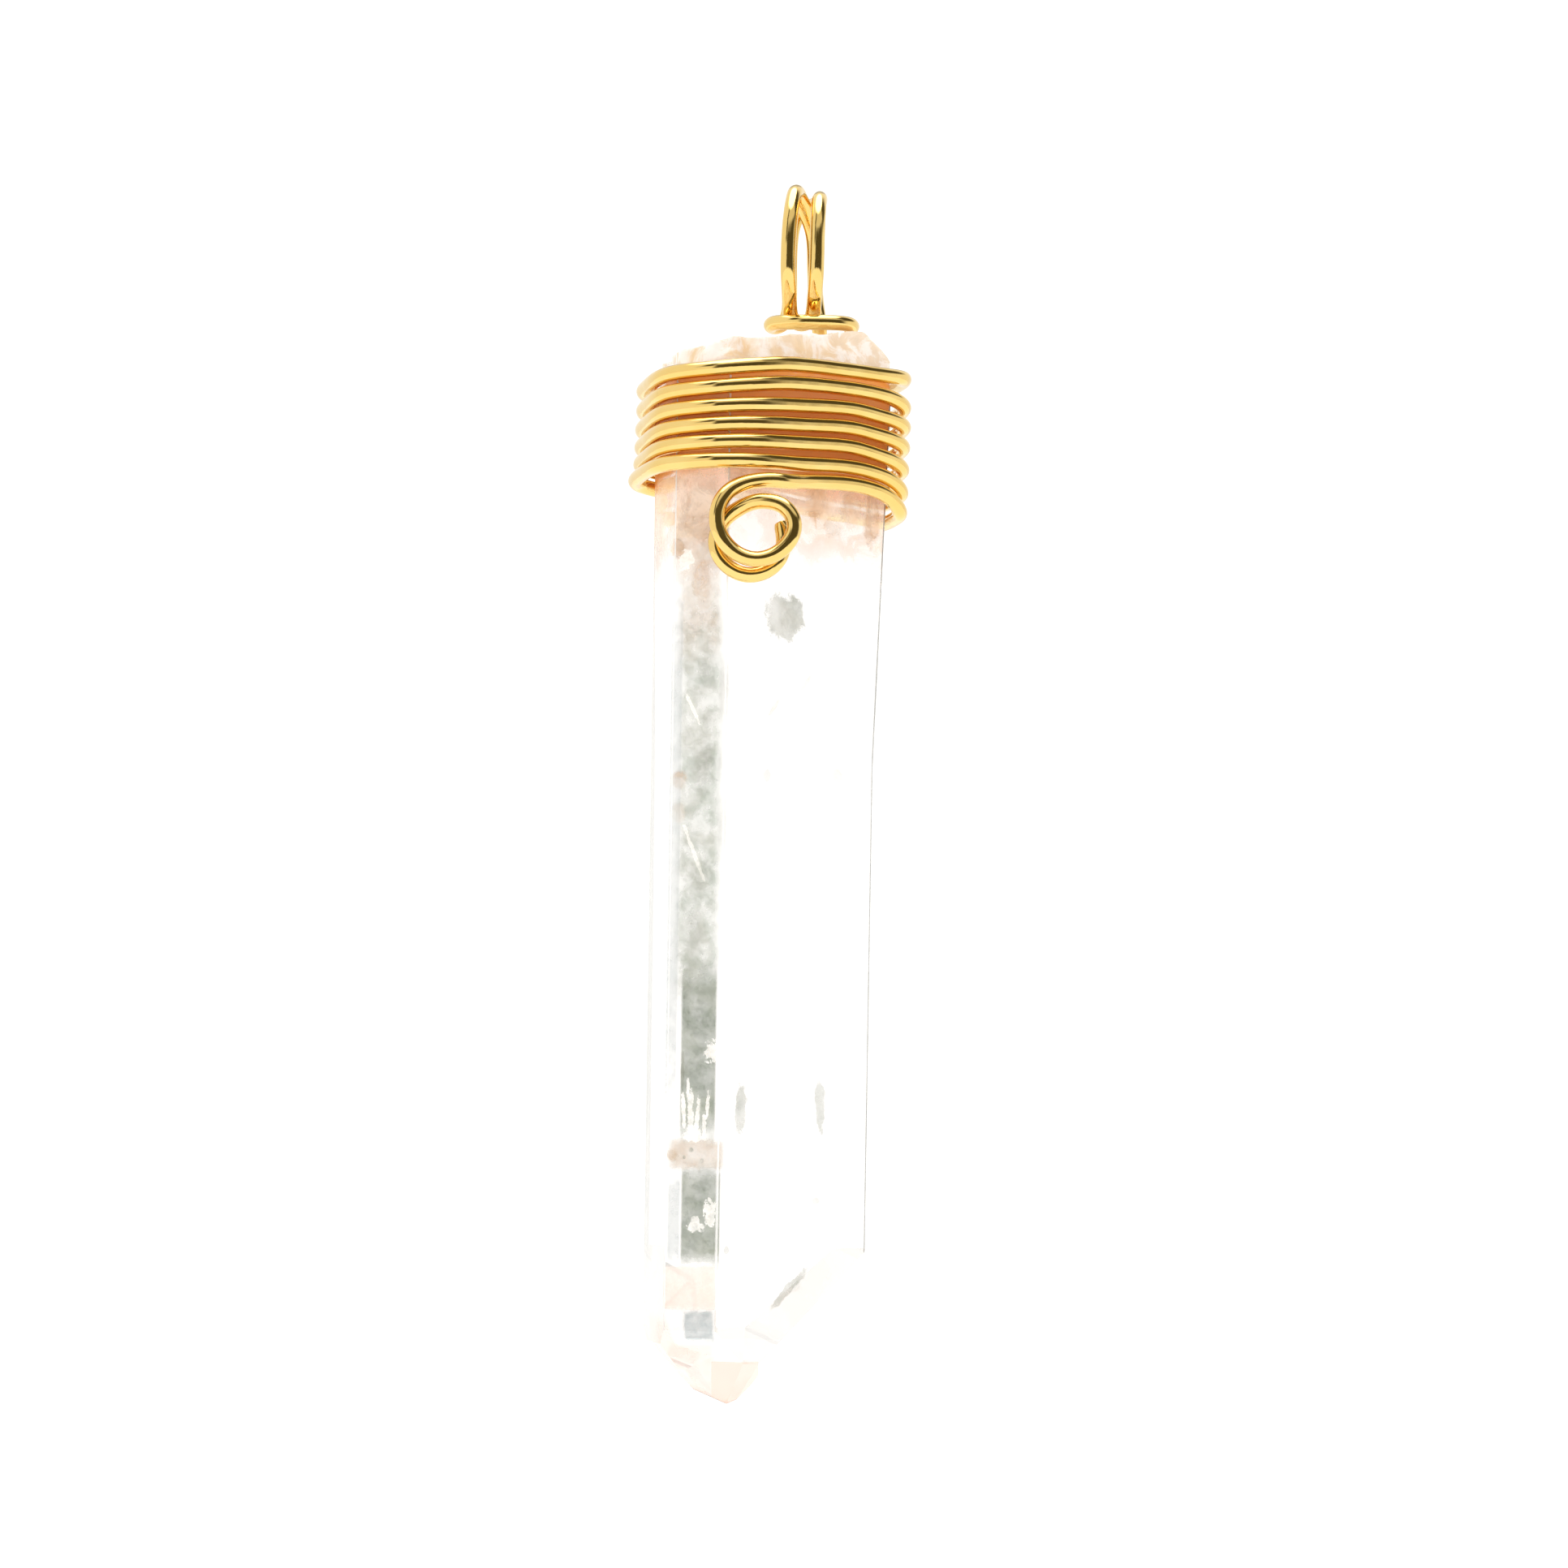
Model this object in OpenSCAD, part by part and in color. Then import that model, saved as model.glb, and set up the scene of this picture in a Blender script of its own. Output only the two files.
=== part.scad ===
// Quartz point pendant, hung from a double wire loop.
// Lengths are millimetres. X is right, Y is away from the viewer, Z is up.
// The origin is where the pendant hangs: inside the top of the lower bail loop.
// Azimuths are degrees round the upright: 0 faces the viewer, 90 faces right.

/* [Stone] */
// Distance from the bail's bearing point down to the stone's tip.
tip_drop = 62.65; // [58:0.05:68]
// Sideways place of the stone's axis, measured from the bail's bearing point.
stone_shift = -1.85; // [-2.2:0.05:-1.5]
// Growth of the six prism faces outwards or inwards.
stone_swell = 0; // [-0.15:0.01:0.1]
// Steepness of the main faces of the point, degrees from level.
point_slope = 44; // [40:0.5:50]

/* [Wire] */
// Diameter of the round wire.
wire_gauge = 0.8; // [0.7:0.01:0.84]
// Flat sides of the swept wire's section.
wire_sides = 12; // [10:1:14]
// Steps in one full turn of wire.
turn_steps = 34; // [30:2:40]
// Play between the wire and the stone beyond the measured wrap.
wrap_play = 0; // [0:0.01:0.2]

/* [Scroll] */
// Sideways place of the scroll's centre.
scroll_x = -2.35; // [-2.6:0.05:-2]
// Height of the scroll's centre.
scroll_z = -18.67; // [-18.9:0.01:-18.5]
// Growth of the scroll's rings.
scroll_scale = 1; // [0.96:0.01:1.06]

/* [Bail] */
// Half depth of the bail's loops, along the line of sight.
loop_reach = 2.4; // [2.2:0.05:2.8]
// Half width of the neck turn.
neck_half_width = 2.15; // [2:0.05:2.4]
// Half depth of the neck turn.
neck_half_depth = 1.7; // [1.6:0.05:1.9]

/* [Hidden] */
wire_r = wire_gauge / 2;
gold = [0.93, 0.76, 0.42];
quartz = [0.95, 0.95, 0.94, 0.55];
slab = 200;

// Prism faces: [azimuth, distance from the axis, lean outwards going up, height where measured].
prism_faces = [
    [-78, 5.68, 0.15, -53],
    [-21, 7.20, 0.20, -53],
    [40, 4.12, 0.20, -53],
    [100, 5.44, 0.25, -53],
    [160, 6.55, 0.15, -53],
    [220, 3.68, 0.20, -53]
];

// Faces of the point: [azimuth, degrees steeper than the main slope, distance past the apex].
point_faces = [
    [-78, 6, 1.05],
    [-21, 2, 0],
    [40, -3, 0],
    [78, 8.2, 0.3],
    [160, -6, 0],
    [220, -8, 0]
];
point_apex = [-1.37, -3.2];

// Broken crown: [azimuth of the fall, degrees from level, distance from the axis, height there].
crown_faces = [
    [-66.4, 11.7, 0, -7.58],
    [197, 6, 0, -7.2],
    [97, 38, 4.8, -6.85],
    [-85, 86.4, 5.68, -8.1]
];

// Side growth on the right, where the stone widens upwards: [azimuth, lean, height where it starts].
flare_face = [100, 2.4, -30];

// Sides of the wrap in plan: [azimuth, distance of the wire's middle from the stone's axis].
wrap_sides = [
    [-78, 6.7],
    [-21, 8.36],
    [40, 5.45],
    [100, 7.2],
    [160, 7.76],
    [220, 4.78]
];
wrap_squareness = 10;

// Heights of the wire, a row per turn from the lowest up:
// [left, front left, front, front right, right front, right].
turn_heights = [
    [-15.95, -15.95, -15.8, -15.45, -15.6, -16.35],
    [-14.97, -15.12, -14.88, -14.56, -14.71, -15.28],
    [-14.1, -14.16, -13.83, -13.51, -13.72, -14.05],
    [-13.2, -13.26, -12.88, -12.52, -12.66, -12.86],
    [-12.25, -12.33, -11.88, -11.52, -11.64, -11.78],
    [-11.25, -11.35, -10.76, -10.48, -10.5, -10.74],
    [-10.2, -10.4, -9.78, -9.53, -9.43, -9.2]
];
turn_azimuths = [-90, -20, 10, 50, 72, 92];

// How far each turn stands further out, from the lowest up: [on the left, on the right].
turn_pushes = [
    [0.25, -0.15],
    [0.25, -0.1],
    [0, -0.06],
    [-0.04, -0.03],
    [-0.06, 0],
    [-0.1, 0],
    [-0.1, 0]
];
last_turn = len(turn_heights) - 1;
coil_start = 24;
coil_end = 360 * last_turn + 148;

// Scroll in the frontal plane: [turn from the top, radius, depth]; it turns left and down.
scroll_bends = [
    [-21, 2.91, -7.05],
    [-1, 2.61, -7.5],
    [43, 2.36, -8.15],
    [77, 2.03, -8.45],
    [126, 1.64, -8.45],
    [183, 1.57, -8.4],
    [232, 1.7, -8.35],
    [277, 1.99, -8.25],
    [312, 1.86, -8.1],
    [342, 1.58, -7.95],
    [397, 1.44, -7.6],
    [447, 1.89, -7.56],
    [471, 2.15, -7.58],
    [494, 2.27, -7.6],
    [531, 2.28, -7.6],
    [574, 1.93, -7.45],
    [613, 1.5, -7.1],
    [654, 1.34, -7.0]
];

// Bail from the tail behind the stone up to the neck: [x, y, z].
tail_bends = [
    [2.279, 6.72, -8.777],
    [1.74, 6.96, -8.73],
    [1.26, 7.08, -8.4],
    [0.98, 6.93, -7.75],
    [0.9, 6.38, -7.3],
    [0.94, 5.55, -7.12],
    [0.96, 4.2, -7.0],
    [0.93, 2.9, -6.9],
    [0.88, 1.85, -6.8],
    [0.82, 1.08, -6.58],
    [0.78, 0.72, -6.05]
];

// Bail loops: [x, share of the loop's reach, z], up behind on the right and down behind on the left.
loop_bends = [
    [0.7, 0.36, -5.45],
    [0.62, 0.56, -4.7],
    [0.54, 0.8, -3.6],
    [0.5, 0.95, -2.5],
    [0.48, 0.97, -1.6],
    [0.36, 0.87, -0.8],
    [0.1, 0.68, -0.14],
    [-0.16, 0.44, 0.4],
    [-0.38, 0.16, 0.7],
    [-0.51, -0.12, 0.71],
    [-0.64, -0.47, 0.3],
    [-0.77, -0.79, -0.7],
    [-0.86, -0.94, -1.9],
    [-0.9, -1, -3.1],
    [-0.89, -0.96, -4.1],
    [-0.83, -0.76, -4.9],
    [-0.8, -0.54, -5.38],
    [-0.77, -0.33, -5.8],
    [-0.69, -0.235, -6.12],
    [-0.46, -0.2, -6.36],
    [-0.15, -0.19, -6.45],
    [0.16, -0.2, -6.36],
    [0.39, -0.235, -6.12],
    [0.47, -0.33, -5.8],
    [0.5, -0.54, -5.38],
    [0.54, -0.76, -4.9],
    [0.58, -0.96, -4.1],
    [0.6, -1, -3.1],
    [0.62, -0.94, -1.9],
    [0.65, -0.79, -0.85],
    [0.7, -0.46, 0.05],
    [0.74, -0.05, 0.42],
    [0.76, 0.3, 0.54],
    [0.72, 0.66, 0.66],
    [0.53, 0.95, 0.7],
    [0.2, 1.08, 0.6],
    [-0.2, 1.12, 0.38],
    [-0.54, 1.11, -0.1],
    [-0.74, 1.07, -0.9],
    [-0.8, 1, -2],
    [-0.8, 0.86, -3.2],
    [-0.79, 0.69, -4.4],
    [-0.84, 0.57, -5.35],
    [-0.99, 0.5, -5.9],
    [-1.24, 0.39, -6.22]
];

// Neck turn: [azimuth round the neck, share of the width and depth, z].
neck_bends = [
    [-112, 0.98, -6.38],
    [-90, 1, -6.42],
    [-60, 1, -6.47],
    [-30, 1, -6.56],
    [0, 1, -6.6],
    [30, 1, -6.56],
    [60, 1, -6.48],
    [90, 1, -6.43],
    [112, 1, -6.36]
];
neck_x = 0.38;

// Unit vector of a direction.
function unit(v) = v / norm(v);

// Level direction at an azimuth.
function level(azimuth) = [sin(azimuth), -cos(azimuth), 0];

// Row of a table in which the key lies, kept inside the table.
function row_of(table, key, i = 0) =
    i >= len(table) - 2 || key < table[i + 1][0] ? i : row_of(table, key, i + 1);

// Slope of a table's column at one row, from the rows beside it.
function slope_at(table, column, i) =
    let (a = max(i - 1, 0), b = min(i + 1, len(table) - 1))
    (table[b][column] - table[a][column]) / (table[b][0] - table[a][0]);

// Value of a table's column at a key, on a smooth curve through its rows.
function smooth_value(table, column, key) =
    let (
        i = row_of(table, key),
        step = table[i + 1][0] - table[i][0],
        t = (key - table[i][0]) / step,
        left = slope_at(table, column, i) * step,
        right = slope_at(table, column, i + 1) * step
    )
    (2 * t * t * t - 3 * t * t + 1) * table[i][column]
    + (t * t * t - 2 * t * t + t) * left
    + (3 * t * t - 2 * t * t * t) * table[i + 1][column]
    + (t * t * t - t * t) * right;

// Distance of the wrap's wire from the stone's axis: a six-sided outline with round corners.
function wrap_radius(azimuth) =
    let (shares = [for (side = wrap_sides)
        pow(max(0, cos(azimuth - side[0])) / (side[1] + wrap_play), wrap_squareness)])
    pow(shares * [for (share = shares) 1], -1 / wrap_squareness);

// Heights of the wire against the whole angle turned, with the rise behind the stone.
turn_table = [
    for (turn = [0 : last_turn])
        each concat(
            [for (i = [0 : len(turn_azimuths) - 1])
                [360 * turn + turn_azimuths[i], turn_heights[turn][i]]],
            turn < last_turn
                ? [[360 * turn + 180, (turn_heights[turn][5] + turn_heights[turn + 1][0]) / 2]]
                : [[coil_end, turn_heights[turn][5] + 0.42]]
        )
];

// Pushes outwards against the whole angle turned.
push_table = [
    for (turn = [0 : last_turn])
        each [
            [360 * turn - 90, turn_pushes[turn][0]],
            [360 * turn, 0],
            [360 * turn + 88, turn_pushes[turn][1]],
            [360 * turn + 180, 0]
        ]
];

// Point on the coil at a whole angle.
function coil_point(angle) =
    [stone_shift, 0, smooth_value(turn_table, 1, angle)]
    + (wrap_radius(angle) + smooth_value(push_table, 1, angle)) * level(angle);

// Point on the scroll at an angle turned from its top.
function scroll_point(turn) =
    let (radius = smooth_value(scroll_bends, 1, turn) * scroll_scale)
    [
        scroll_x - radius * sin(turn),
        smooth_value(scroll_bends, 2, turn),
        scroll_z + radius * cos(turn)
    ];

// Smooth bridge between two points that leaves and arrives along the given directions.
function bridge(p, p_way, q, q_way, steps) =
    let (reach = norm(q - p))
    [for (i = [1 : steps - 1])
        let (t = i / steps)
        (2 * t * t * t - 3 * t * t + 1) * p
        + (t * t * t - 2 * t * t + t) * reach * p_way
        + (3 * t * t - 2 * t * t * t) * q
        + (t * t * t - t * t) * reach * q_way];

// Smooth path through a few bends, with a number of steps between each two.
function through(bends, steps) =
    let (table = [for (i = [0 : len(bends) - 1]) concat([i], bends[i])])
    [for (i = [0 : (len(bends) - 1) * steps])
        [for (column = [1 : 3]) smooth_value(table, column, i / steps)]];

// Direction of a path at each of its points.
function path_ways(path) =
    [for (i = [0 : len(path) - 1])
        unit(path[min(i + 1, len(path) - 1)] - path[max(i - 1, 0)])];

// Vector turned square to a direction.
function squared(v, way) = unit(v - (v * way) * way);

// Section directions carried along the path without twist.
function carried(ways, start) =
    [for (
        i = 0, side = squared(start, ways[0]);
        i < len(ways);
        i = i + 1, side = squared(side, ways[min(i, len(ways) - 1)])
    ) side];

// Round wire swept along a path, closed by a flat cut at each end.
module swept_wire(path, start) {
    ways = path_ways(path);
    sides = carried(ways, start);
    count = len(path);
    rim = wire_sides;
    points = [
        for (i = [0 : count - 1], j = [0 : rim - 1])
            path[i] + wire_r * (cos(360 * j / rim) * sides[i]
                + sin(360 * j / rim) * cross(ways[i], sides[i]))
    ];
    walls = [
        for (i = [0 : count - 2], j = [0 : rim - 1])
            let (a = i * rim + j, b = i * rim + (j + 1) % rim)
            each [[a, b, b + rim], [a, b + rim, a + rim]]
    ];
    polyhedron(
        points = points,
        faces = concat(
            [for (face = walls) [face[0], face[2], face[1]]],
            [[for (j = [0 : rim - 1]) j]],
            [[for (j = [rim - 1 : -1 : 0]) (count - 1) * rim + j]]
        ),
        convexity = 12
    );
}

// Block that fills the inner side of a plane through a point; the normal points out of the stone.
module inside(azimuth, rise, at) {
    translate(at)
        rotate([0, 0, azimuth - 90])
            rotate([0, -rise, 0])
                translate([-slab, -slab / 2, -slab / 2])
                    cube(slab);
}

// Stone's body: prism faces, the point's faces and the broken crown, with one face swapped for the flare.
module stone_body(flared) {
    intersection() {
        intersection_for(face = prism_faces) {
            flare = flared && face[0] == flare_face[0];
            lean = flare ? flare_face[1] : face[2];
            height = flare ? flare_face[2] : face[3];
            growth = flare ? (flare_face[2] - face[3]) * tan(face[2]) : 0;
            inside(face[0], -lean, (face[1] + growth + stone_swell) * level(face[0]) + [0, 0, height]);
        }
        intersection_for(face = point_faces) {
            inside(
                face[0],
                point_slope + face[1] - 90,
                [point_apex[0], point_apex[1], -tip_drop] + face[2] * level(face[0])
            );
        }
        intersection_for(face = crown_faces) {
            inside(face[0], 90 - face[1], face[2] * level(face[0]) + [0, 0, face[3]]);
        }
        if (flared) {
            translate([-slab / 2, -slab / 2, flare_face[2]])
                cube(slab);
        }
    }
}

// Clear quartz point: a six-sided prism with a natural point below and a broken crown on top.
module quartz_point() {
    color(quartz)
        translate([stone_shift, 0, 0])
            union() {
                stone_body(false);
                stone_body(true);
            }
}

// One length of wire: the scroll in front, then seven turns up the stone.
module wrap_wire() {
    turns = [
        for (i = [0 : ceil((coil_end - coil_start) * turn_steps / 360)])
            coil_point(min(coil_end, coil_start + i * 360 / turn_steps))
    ];
    curl_start = scroll_bends[0][0];
    curl_end = scroll_bends[len(scroll_bends) - 1][0];
    curl = [
        for (i = [0 : turn_steps * 2 - 4])
            scroll_point(curl_end + (curl_start - curl_end) * i / (turn_steps * 2 - 4))
    ];
    last = len(curl) - 1;
    joint = bridge(
        curl[last],
        unit(curl[last] - curl[last - 1]),
        turns[0],
        unit(turns[1] - turns[0]),
        5
    );
    color(gold)
        swept_wire(concat(curl, joint, turns), [0, -1, 0]);
}

// Bail: a tail over the stone's crown, two loops side by side and one turn round the neck.
module bail() {
    loops = [for (bend = loop_bends) [bend[0], bend[1] * loop_reach, bend[2]]];
    neck = [
        for (bend = neck_bends)
            [
                neck_x + neck_half_width * bend[1] * sin(bend[0]),
                -neck_half_depth * bend[1] * cos(bend[0]),
                bend[2]
            ]
    ];
    color(gold)
        swept_wire(through(concat(tail_bends, loops, neck), 4), [1, 0, 0]);
}

quartz_point();
wrap_wire();
bail();
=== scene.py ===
"""Quartz point pendant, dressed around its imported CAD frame.

All lengths in the tables are millimetres and are turned into metres when a mesh is made.
X is right, Y is away from the viewer, Z is up, and azimuth 0 faces the viewer.
"""

import itertools
import logging
import math
from dataclasses import dataclass, field
from enum import Enum
from typing import Any, Iterable, Optional, Sequence

import bmesh
import bpy
import numpy as np
from mathutils import Matrix


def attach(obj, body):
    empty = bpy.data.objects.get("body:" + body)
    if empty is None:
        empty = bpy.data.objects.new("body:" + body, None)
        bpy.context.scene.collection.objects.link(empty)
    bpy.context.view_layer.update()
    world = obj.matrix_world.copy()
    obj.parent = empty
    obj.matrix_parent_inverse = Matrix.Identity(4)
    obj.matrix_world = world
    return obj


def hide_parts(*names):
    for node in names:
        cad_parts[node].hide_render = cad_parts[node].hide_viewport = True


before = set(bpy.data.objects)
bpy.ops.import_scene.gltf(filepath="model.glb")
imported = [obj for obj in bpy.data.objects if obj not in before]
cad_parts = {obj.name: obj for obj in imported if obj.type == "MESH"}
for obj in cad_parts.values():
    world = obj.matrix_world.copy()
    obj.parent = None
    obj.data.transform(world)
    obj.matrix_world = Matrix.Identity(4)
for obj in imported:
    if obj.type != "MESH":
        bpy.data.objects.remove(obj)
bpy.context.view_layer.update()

MM = 0.001
LOG = logging.getLogger("pendant")
Array = np.ndarray


# Shader expressions


class Value:
    """A number socket that can be used in Python arithmetic."""

    def __init__(self, graph: "Graph", socket: Any) -> None:
        """Keep the graph and the socket."""
        self.graph = graph
        self.socket = socket

    def _math(self, operation: str, *inputs: Any) -> "Value":
        """Add one Math node.

        Args:
            operation: the Math node's operation.
            inputs: numbers or values for its sockets.

        Returns:
            The node's result as a value.
        """
        made = self.graph.node("ShaderNodeMath", {"operation": operation}, dict(enumerate(inputs)))
        return Value(self.graph, made.outputs[0])

    def __add__(self, other: Any) -> "Value":
        """Sum."""
        return self._math("ADD", self, other)

    __radd__ = __add__

    def __mul__(self, other: Any) -> "Value":
        """Product."""
        return self._math("MULTIPLY", self, other)

    __rmul__ = __mul__

    def __sub__(self, other: Any) -> "Value":
        """Difference."""
        return self._math("SUBTRACT", self, other)

    def __rsub__(self, other: Any) -> "Value":
        """Difference from a number."""
        return self._math("SUBTRACT", other, self)

    def __pow__(self, other: Any) -> "Value":
        """Power."""
        return self._math("POWER", self, other)

    def __neg__(self) -> "Value":
        """Opposite."""
        return self._math("MULTIPLY", self, -1.0)

    def larger(self, other: Any) -> "Value":
        """Larger of two values."""
        return self._math("MAXIMUM", self, other)

    def absolute(self) -> "Value":
        """Value without its sign."""
        return self._math("ABSOLUTE", self)

    def arcsine(self) -> "Value":
        """Angle in radians of a sine."""
        return self._math("ARCSINE", self)

    def arctangent(self, other: Any) -> "Value":
        """Angle in radians of this value over another."""
        return self._math("ARCTAN2", self, other)

    def step(self, low: float, high: float) -> "Value":
        """Smooth rise from 0 at the low edge to 1 at the high edge.

        Args:
            low: where the rise starts; above high for a fall.
            high: where the rise ends.

        Returns:
            The smoothed value.
        """
        settings = {"interpolation_type": "SMOOTHSTEP", "clamp": True}
        first, last, start, end = (low, high, 0.0, 1.0) if low < high else (high, low, 1.0, 0.0)
        sockets = {"Value": self, "From Min": first, "From Max": last, "To Min": start, "To Max": end}
        return Value(self.graph, self.graph.node("ShaderNodeMapRange", settings, sockets).outputs["Result"])


class Graph:
    """A node tree with one way to add a node."""

    def __init__(self, tree: Any) -> None:
        """Empty the tree and keep it."""
        self.tree = tree
        tree.nodes.clear()

    def node(self, kind: str, settings: Optional[dict] = None, sockets: Optional[dict] = None) -> Any:
        """Add a node, with its settings first and then its sockets.

        Args:
            kind: the node's type.
            settings: attributes of the node.
            sockets: what its sockets get, as in fill.

        Returns:
            The new node.
        """
        made = self.tree.nodes.new(kind)
        for name, setting in (settings or {}).items():
            setattr(made, name, setting)
        self.fill(made, sockets or {})
        return made

    def fill(self, made: Any, sockets: dict) -> None:
        """Set or link the sockets of a node.

        Args:
            made: the node.
            sockets: input name or number to a number, a colour, a value or a socket.
        """
        for key, given in sockets.items():
            source = given.socket if isinstance(given, Value) else given
            target = made.inputs[key]
            if isinstance(source, bpy.types.NodeSocket):
                self.tree.links.new(source, target)
            else:
                target.default_value = source

    def value(self, socket: Any) -> Value:
        """Wrap a socket for arithmetic."""
        return Value(self, socket)

    def place(self) -> Any:
        """Object coordinates of a surface point."""
        return self.node("ShaderNodeTexCoord").outputs["Object"]

    def parts(self, vector: Any) -> tuple[Value, Value, Value]:
        """Split a vector into its three numbers."""
        split = self.node("ShaderNodeSeparateXYZ", None, {0: vector})
        return tuple(Value(self, out) for out in split.outputs)

    def joined(self, x: Any, y: Any, z: Any) -> Any:
        """Vector from three numbers."""
        return self.node("ShaderNodeCombineXYZ", None, {0: x, 1: y, 2: z}).outputs[0]

    def stretched(self, vector: Any, scale: tuple[float, float, float]) -> Any:
        """Coordinates stretched along the axes, for a pattern that runs one way."""
        return self.node("ShaderNodeMapping", None, {"Vector": vector, "Scale": scale}).outputs[0]

    def noise(self, vector: Any, scale: float, detail: float = 2.0, roughness: float = 0.5,
              warp: float = 0.0) -> Value:
        """Cloudy noise between 0 and 1.

        Args:
            vector: coordinates.
            scale: cells in a metre.
            detail: number of finer layers.
            roughness: strength of the finer layers.
            warp: how far the pattern is stirred.

        Returns:
            The noise as a value.
        """
        sockets = {"Vector": vector, "Scale": scale, "Detail": detail, "Roughness": roughness,
                   "Distortion": warp}
        return Value(self, self.node("ShaderNodeTexNoise", {"noise_dimensions": "3D"}, sockets).outputs[0])

    def blend(self, share: Any, first: Any, second: Any) -> Any:
        """Colour mixed from two colours.

        Args:
            share: how much of the second.
            first: colour at share 0.
            second: colour at share 1.

        Returns:
            The mixed colour's socket.
        """
        sockets = {0: share, 6: _rgba(first), 7: _rgba(second)}
        return self.node("ShaderNodeMix", {"data_type": "RGBA"}, sockets).outputs[2]

    def bump(self, height: Any, distance: float, strength: float = 1.0) -> Any:
        """Normal from a height in shares of a distance in metres."""
        sockets = {"Strength": strength, "Distance": distance, "Height": height}
        return self.node("ShaderNodeBump", None, sockets).outputs[0]

    def covered(self, cover: Any, under: Any, over: Any) -> Any:
        """Surface of one shader node under another, which shows by the cover."""
        sockets = {0: cover, 1: under.outputs[0], 2: over.outputs[0]}
        return self.node("ShaderNodeMixShader", None, sockets).outputs[0]


def _rgba(colour: Any) -> Any:
    """Colour with an alpha of 1, or the socket as it is."""
    return (*colour, 1.0) if isinstance(colour, tuple) else colour


class Sheen(Enum):
    """How a surface passes or throws back light."""

    METAL = "metal"
    CLEAR = "clear"
    DULL = "dull"


@dataclass(frozen=True)
class Finish:
    """A finish of the pendant, made as a node material."""

    name: str
    colour: tuple[float, float, float]
    roughness: float
    sheen: Sheen = Sheen.DULL

    def base(self, graph: Graph) -> Any:
        """Principled shader with this finish's constants.

        Args:
            graph: the material's graph.

        Returns:
            The shader node.
        """
        shader = graph.node("ShaderNodeBsdfPrincipled", None, {
            "Base Color": (*self.colour, 1.0),
            "Roughness": self.roughness,
            "Metallic": 1.0 if self.sheen is Sheen.METAL else 0.0,
        })
        if self.sheen is Sheen.CLEAR:
            shader.inputs["Transmission Weight"].default_value = 1.0
            shader.inputs["IOR"].default_value = 1.544
        return shader

    def haze(self, graph: Graph) -> Any:
        """What fills the body behind the surface; nothing for most finishes."""
        return None

    def dress(self, graph: Graph, shader: Any) -> Any:
        """Vary the shader over the surface; the plain finish has fine grain alone.

        Args:
            graph: the material's graph.
            shader: the principled shader.

        Returns:
            The surface's socket.
        """
        grain = graph.noise(graph.place(), 3000.0, 2.0)
        graph.fill(shader, {"Normal": graph.bump(grain, 0.00001, 0.3)})
        return shader.outputs[0]

    def material(self) -> Any:
        """Make the material.

        Returns:
            The finished material.
        """
        made = bpy.data.materials.new(self.name)
        made.use_nodes = True
        graph = Graph(made.node_tree)
        sockets = {"Surface": self.dress(graph, self.base(graph))}
        inside = self.haze(graph)
        if inside is not None:
            sockets["Volume"] = inside
        graph.node("ShaderNodeOutputMaterial", None, sockets)
        return made


@dataclass(frozen=True)
class GoldPlate(Finish):
    """Polished gold-coloured plating on round wire, with dents and faint drawing lines."""

    name: str = "polished_gold_plate"
    colour: tuple[float, float, float] = (0.86, 0.60, 0.20)
    pale: tuple[float, float, float] = (0.885, 0.64, 0.235)
    rubbed: tuple[float, float, float] = (0.72, 0.44, 0.15)
    roughness: float = 0.075
    sheen: Sheen = Sheen.METAL

    def dress(self, graph: Graph, shader: Any) -> Any:
        """Warm and cool patches, lines along the wire and shallow handling dents.

        Args:
            graph: the material's graph.
            shader: the principled shader.

        Returns:
            The surface's socket.
        """
        place = graph.place()
        tone = graph.noise(place, 420.0, 3.0)
        worn = graph.noise(place, 2600.0, 4.0, 0.65)
        colour = graph.blend(tone.step(0.35, 0.7), self.colour, self.pale)
        colour = graph.blend(worn.step(0.62, 0.8) * 0.35, colour, self.rubbed)
        along, around, _ = graph.parts(graph.node("ShaderNodeUVMap", {"uv_map": "wire"}).outputs[0])
        lines = graph.noise(graph.joined(along * 0.35, around * 26.0, 0.0), 3.0, 3.0, 0.6)
        dents = graph.noise(place, 900.0, 2.0, 0.4)
        pits = graph.noise(place, 5200.0, 2.0)
        height = dents * 1.0 + lines * 0.16 + pits * 0.05
        graph.fill(shader, {"Base Color": colour, "Roughness": worn * 0.09 + 0.035,
                            "Normal": graph.bump(height, 0.00001, 0.9)})
        return shader.outputs[0]


@dataclass(frozen=True)
class CutMetal(Finish):
    """Sheared end of the wire, darker and duller than its plating."""

    name: str = "sheared_wire_end"
    colour: tuple[float, float, float] = (0.30, 0.16, 0.08)
    roughness: float = 0.38
    sheen: Sheen = Sheen.METAL

    def dress(self, graph: Graph, shader: Any) -> Any:
        """Parallel shear marks.

        Args:
            graph: the material's graph.
            shader: the principled shader.

        Returns:
            The surface's socket.
        """
        marks = graph.noise(graph.stretched(graph.place(), (9.0, 1.0, 1.0)), 1500.0, 3.0)
        graph.fill(shader, {"Base Color": graph.blend(marks, self.colour, (0.50, 0.32, 0.16)),
                            "Normal": graph.bump(marks, 0.00002, 0.8)})
        return shader.outputs[0]


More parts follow.
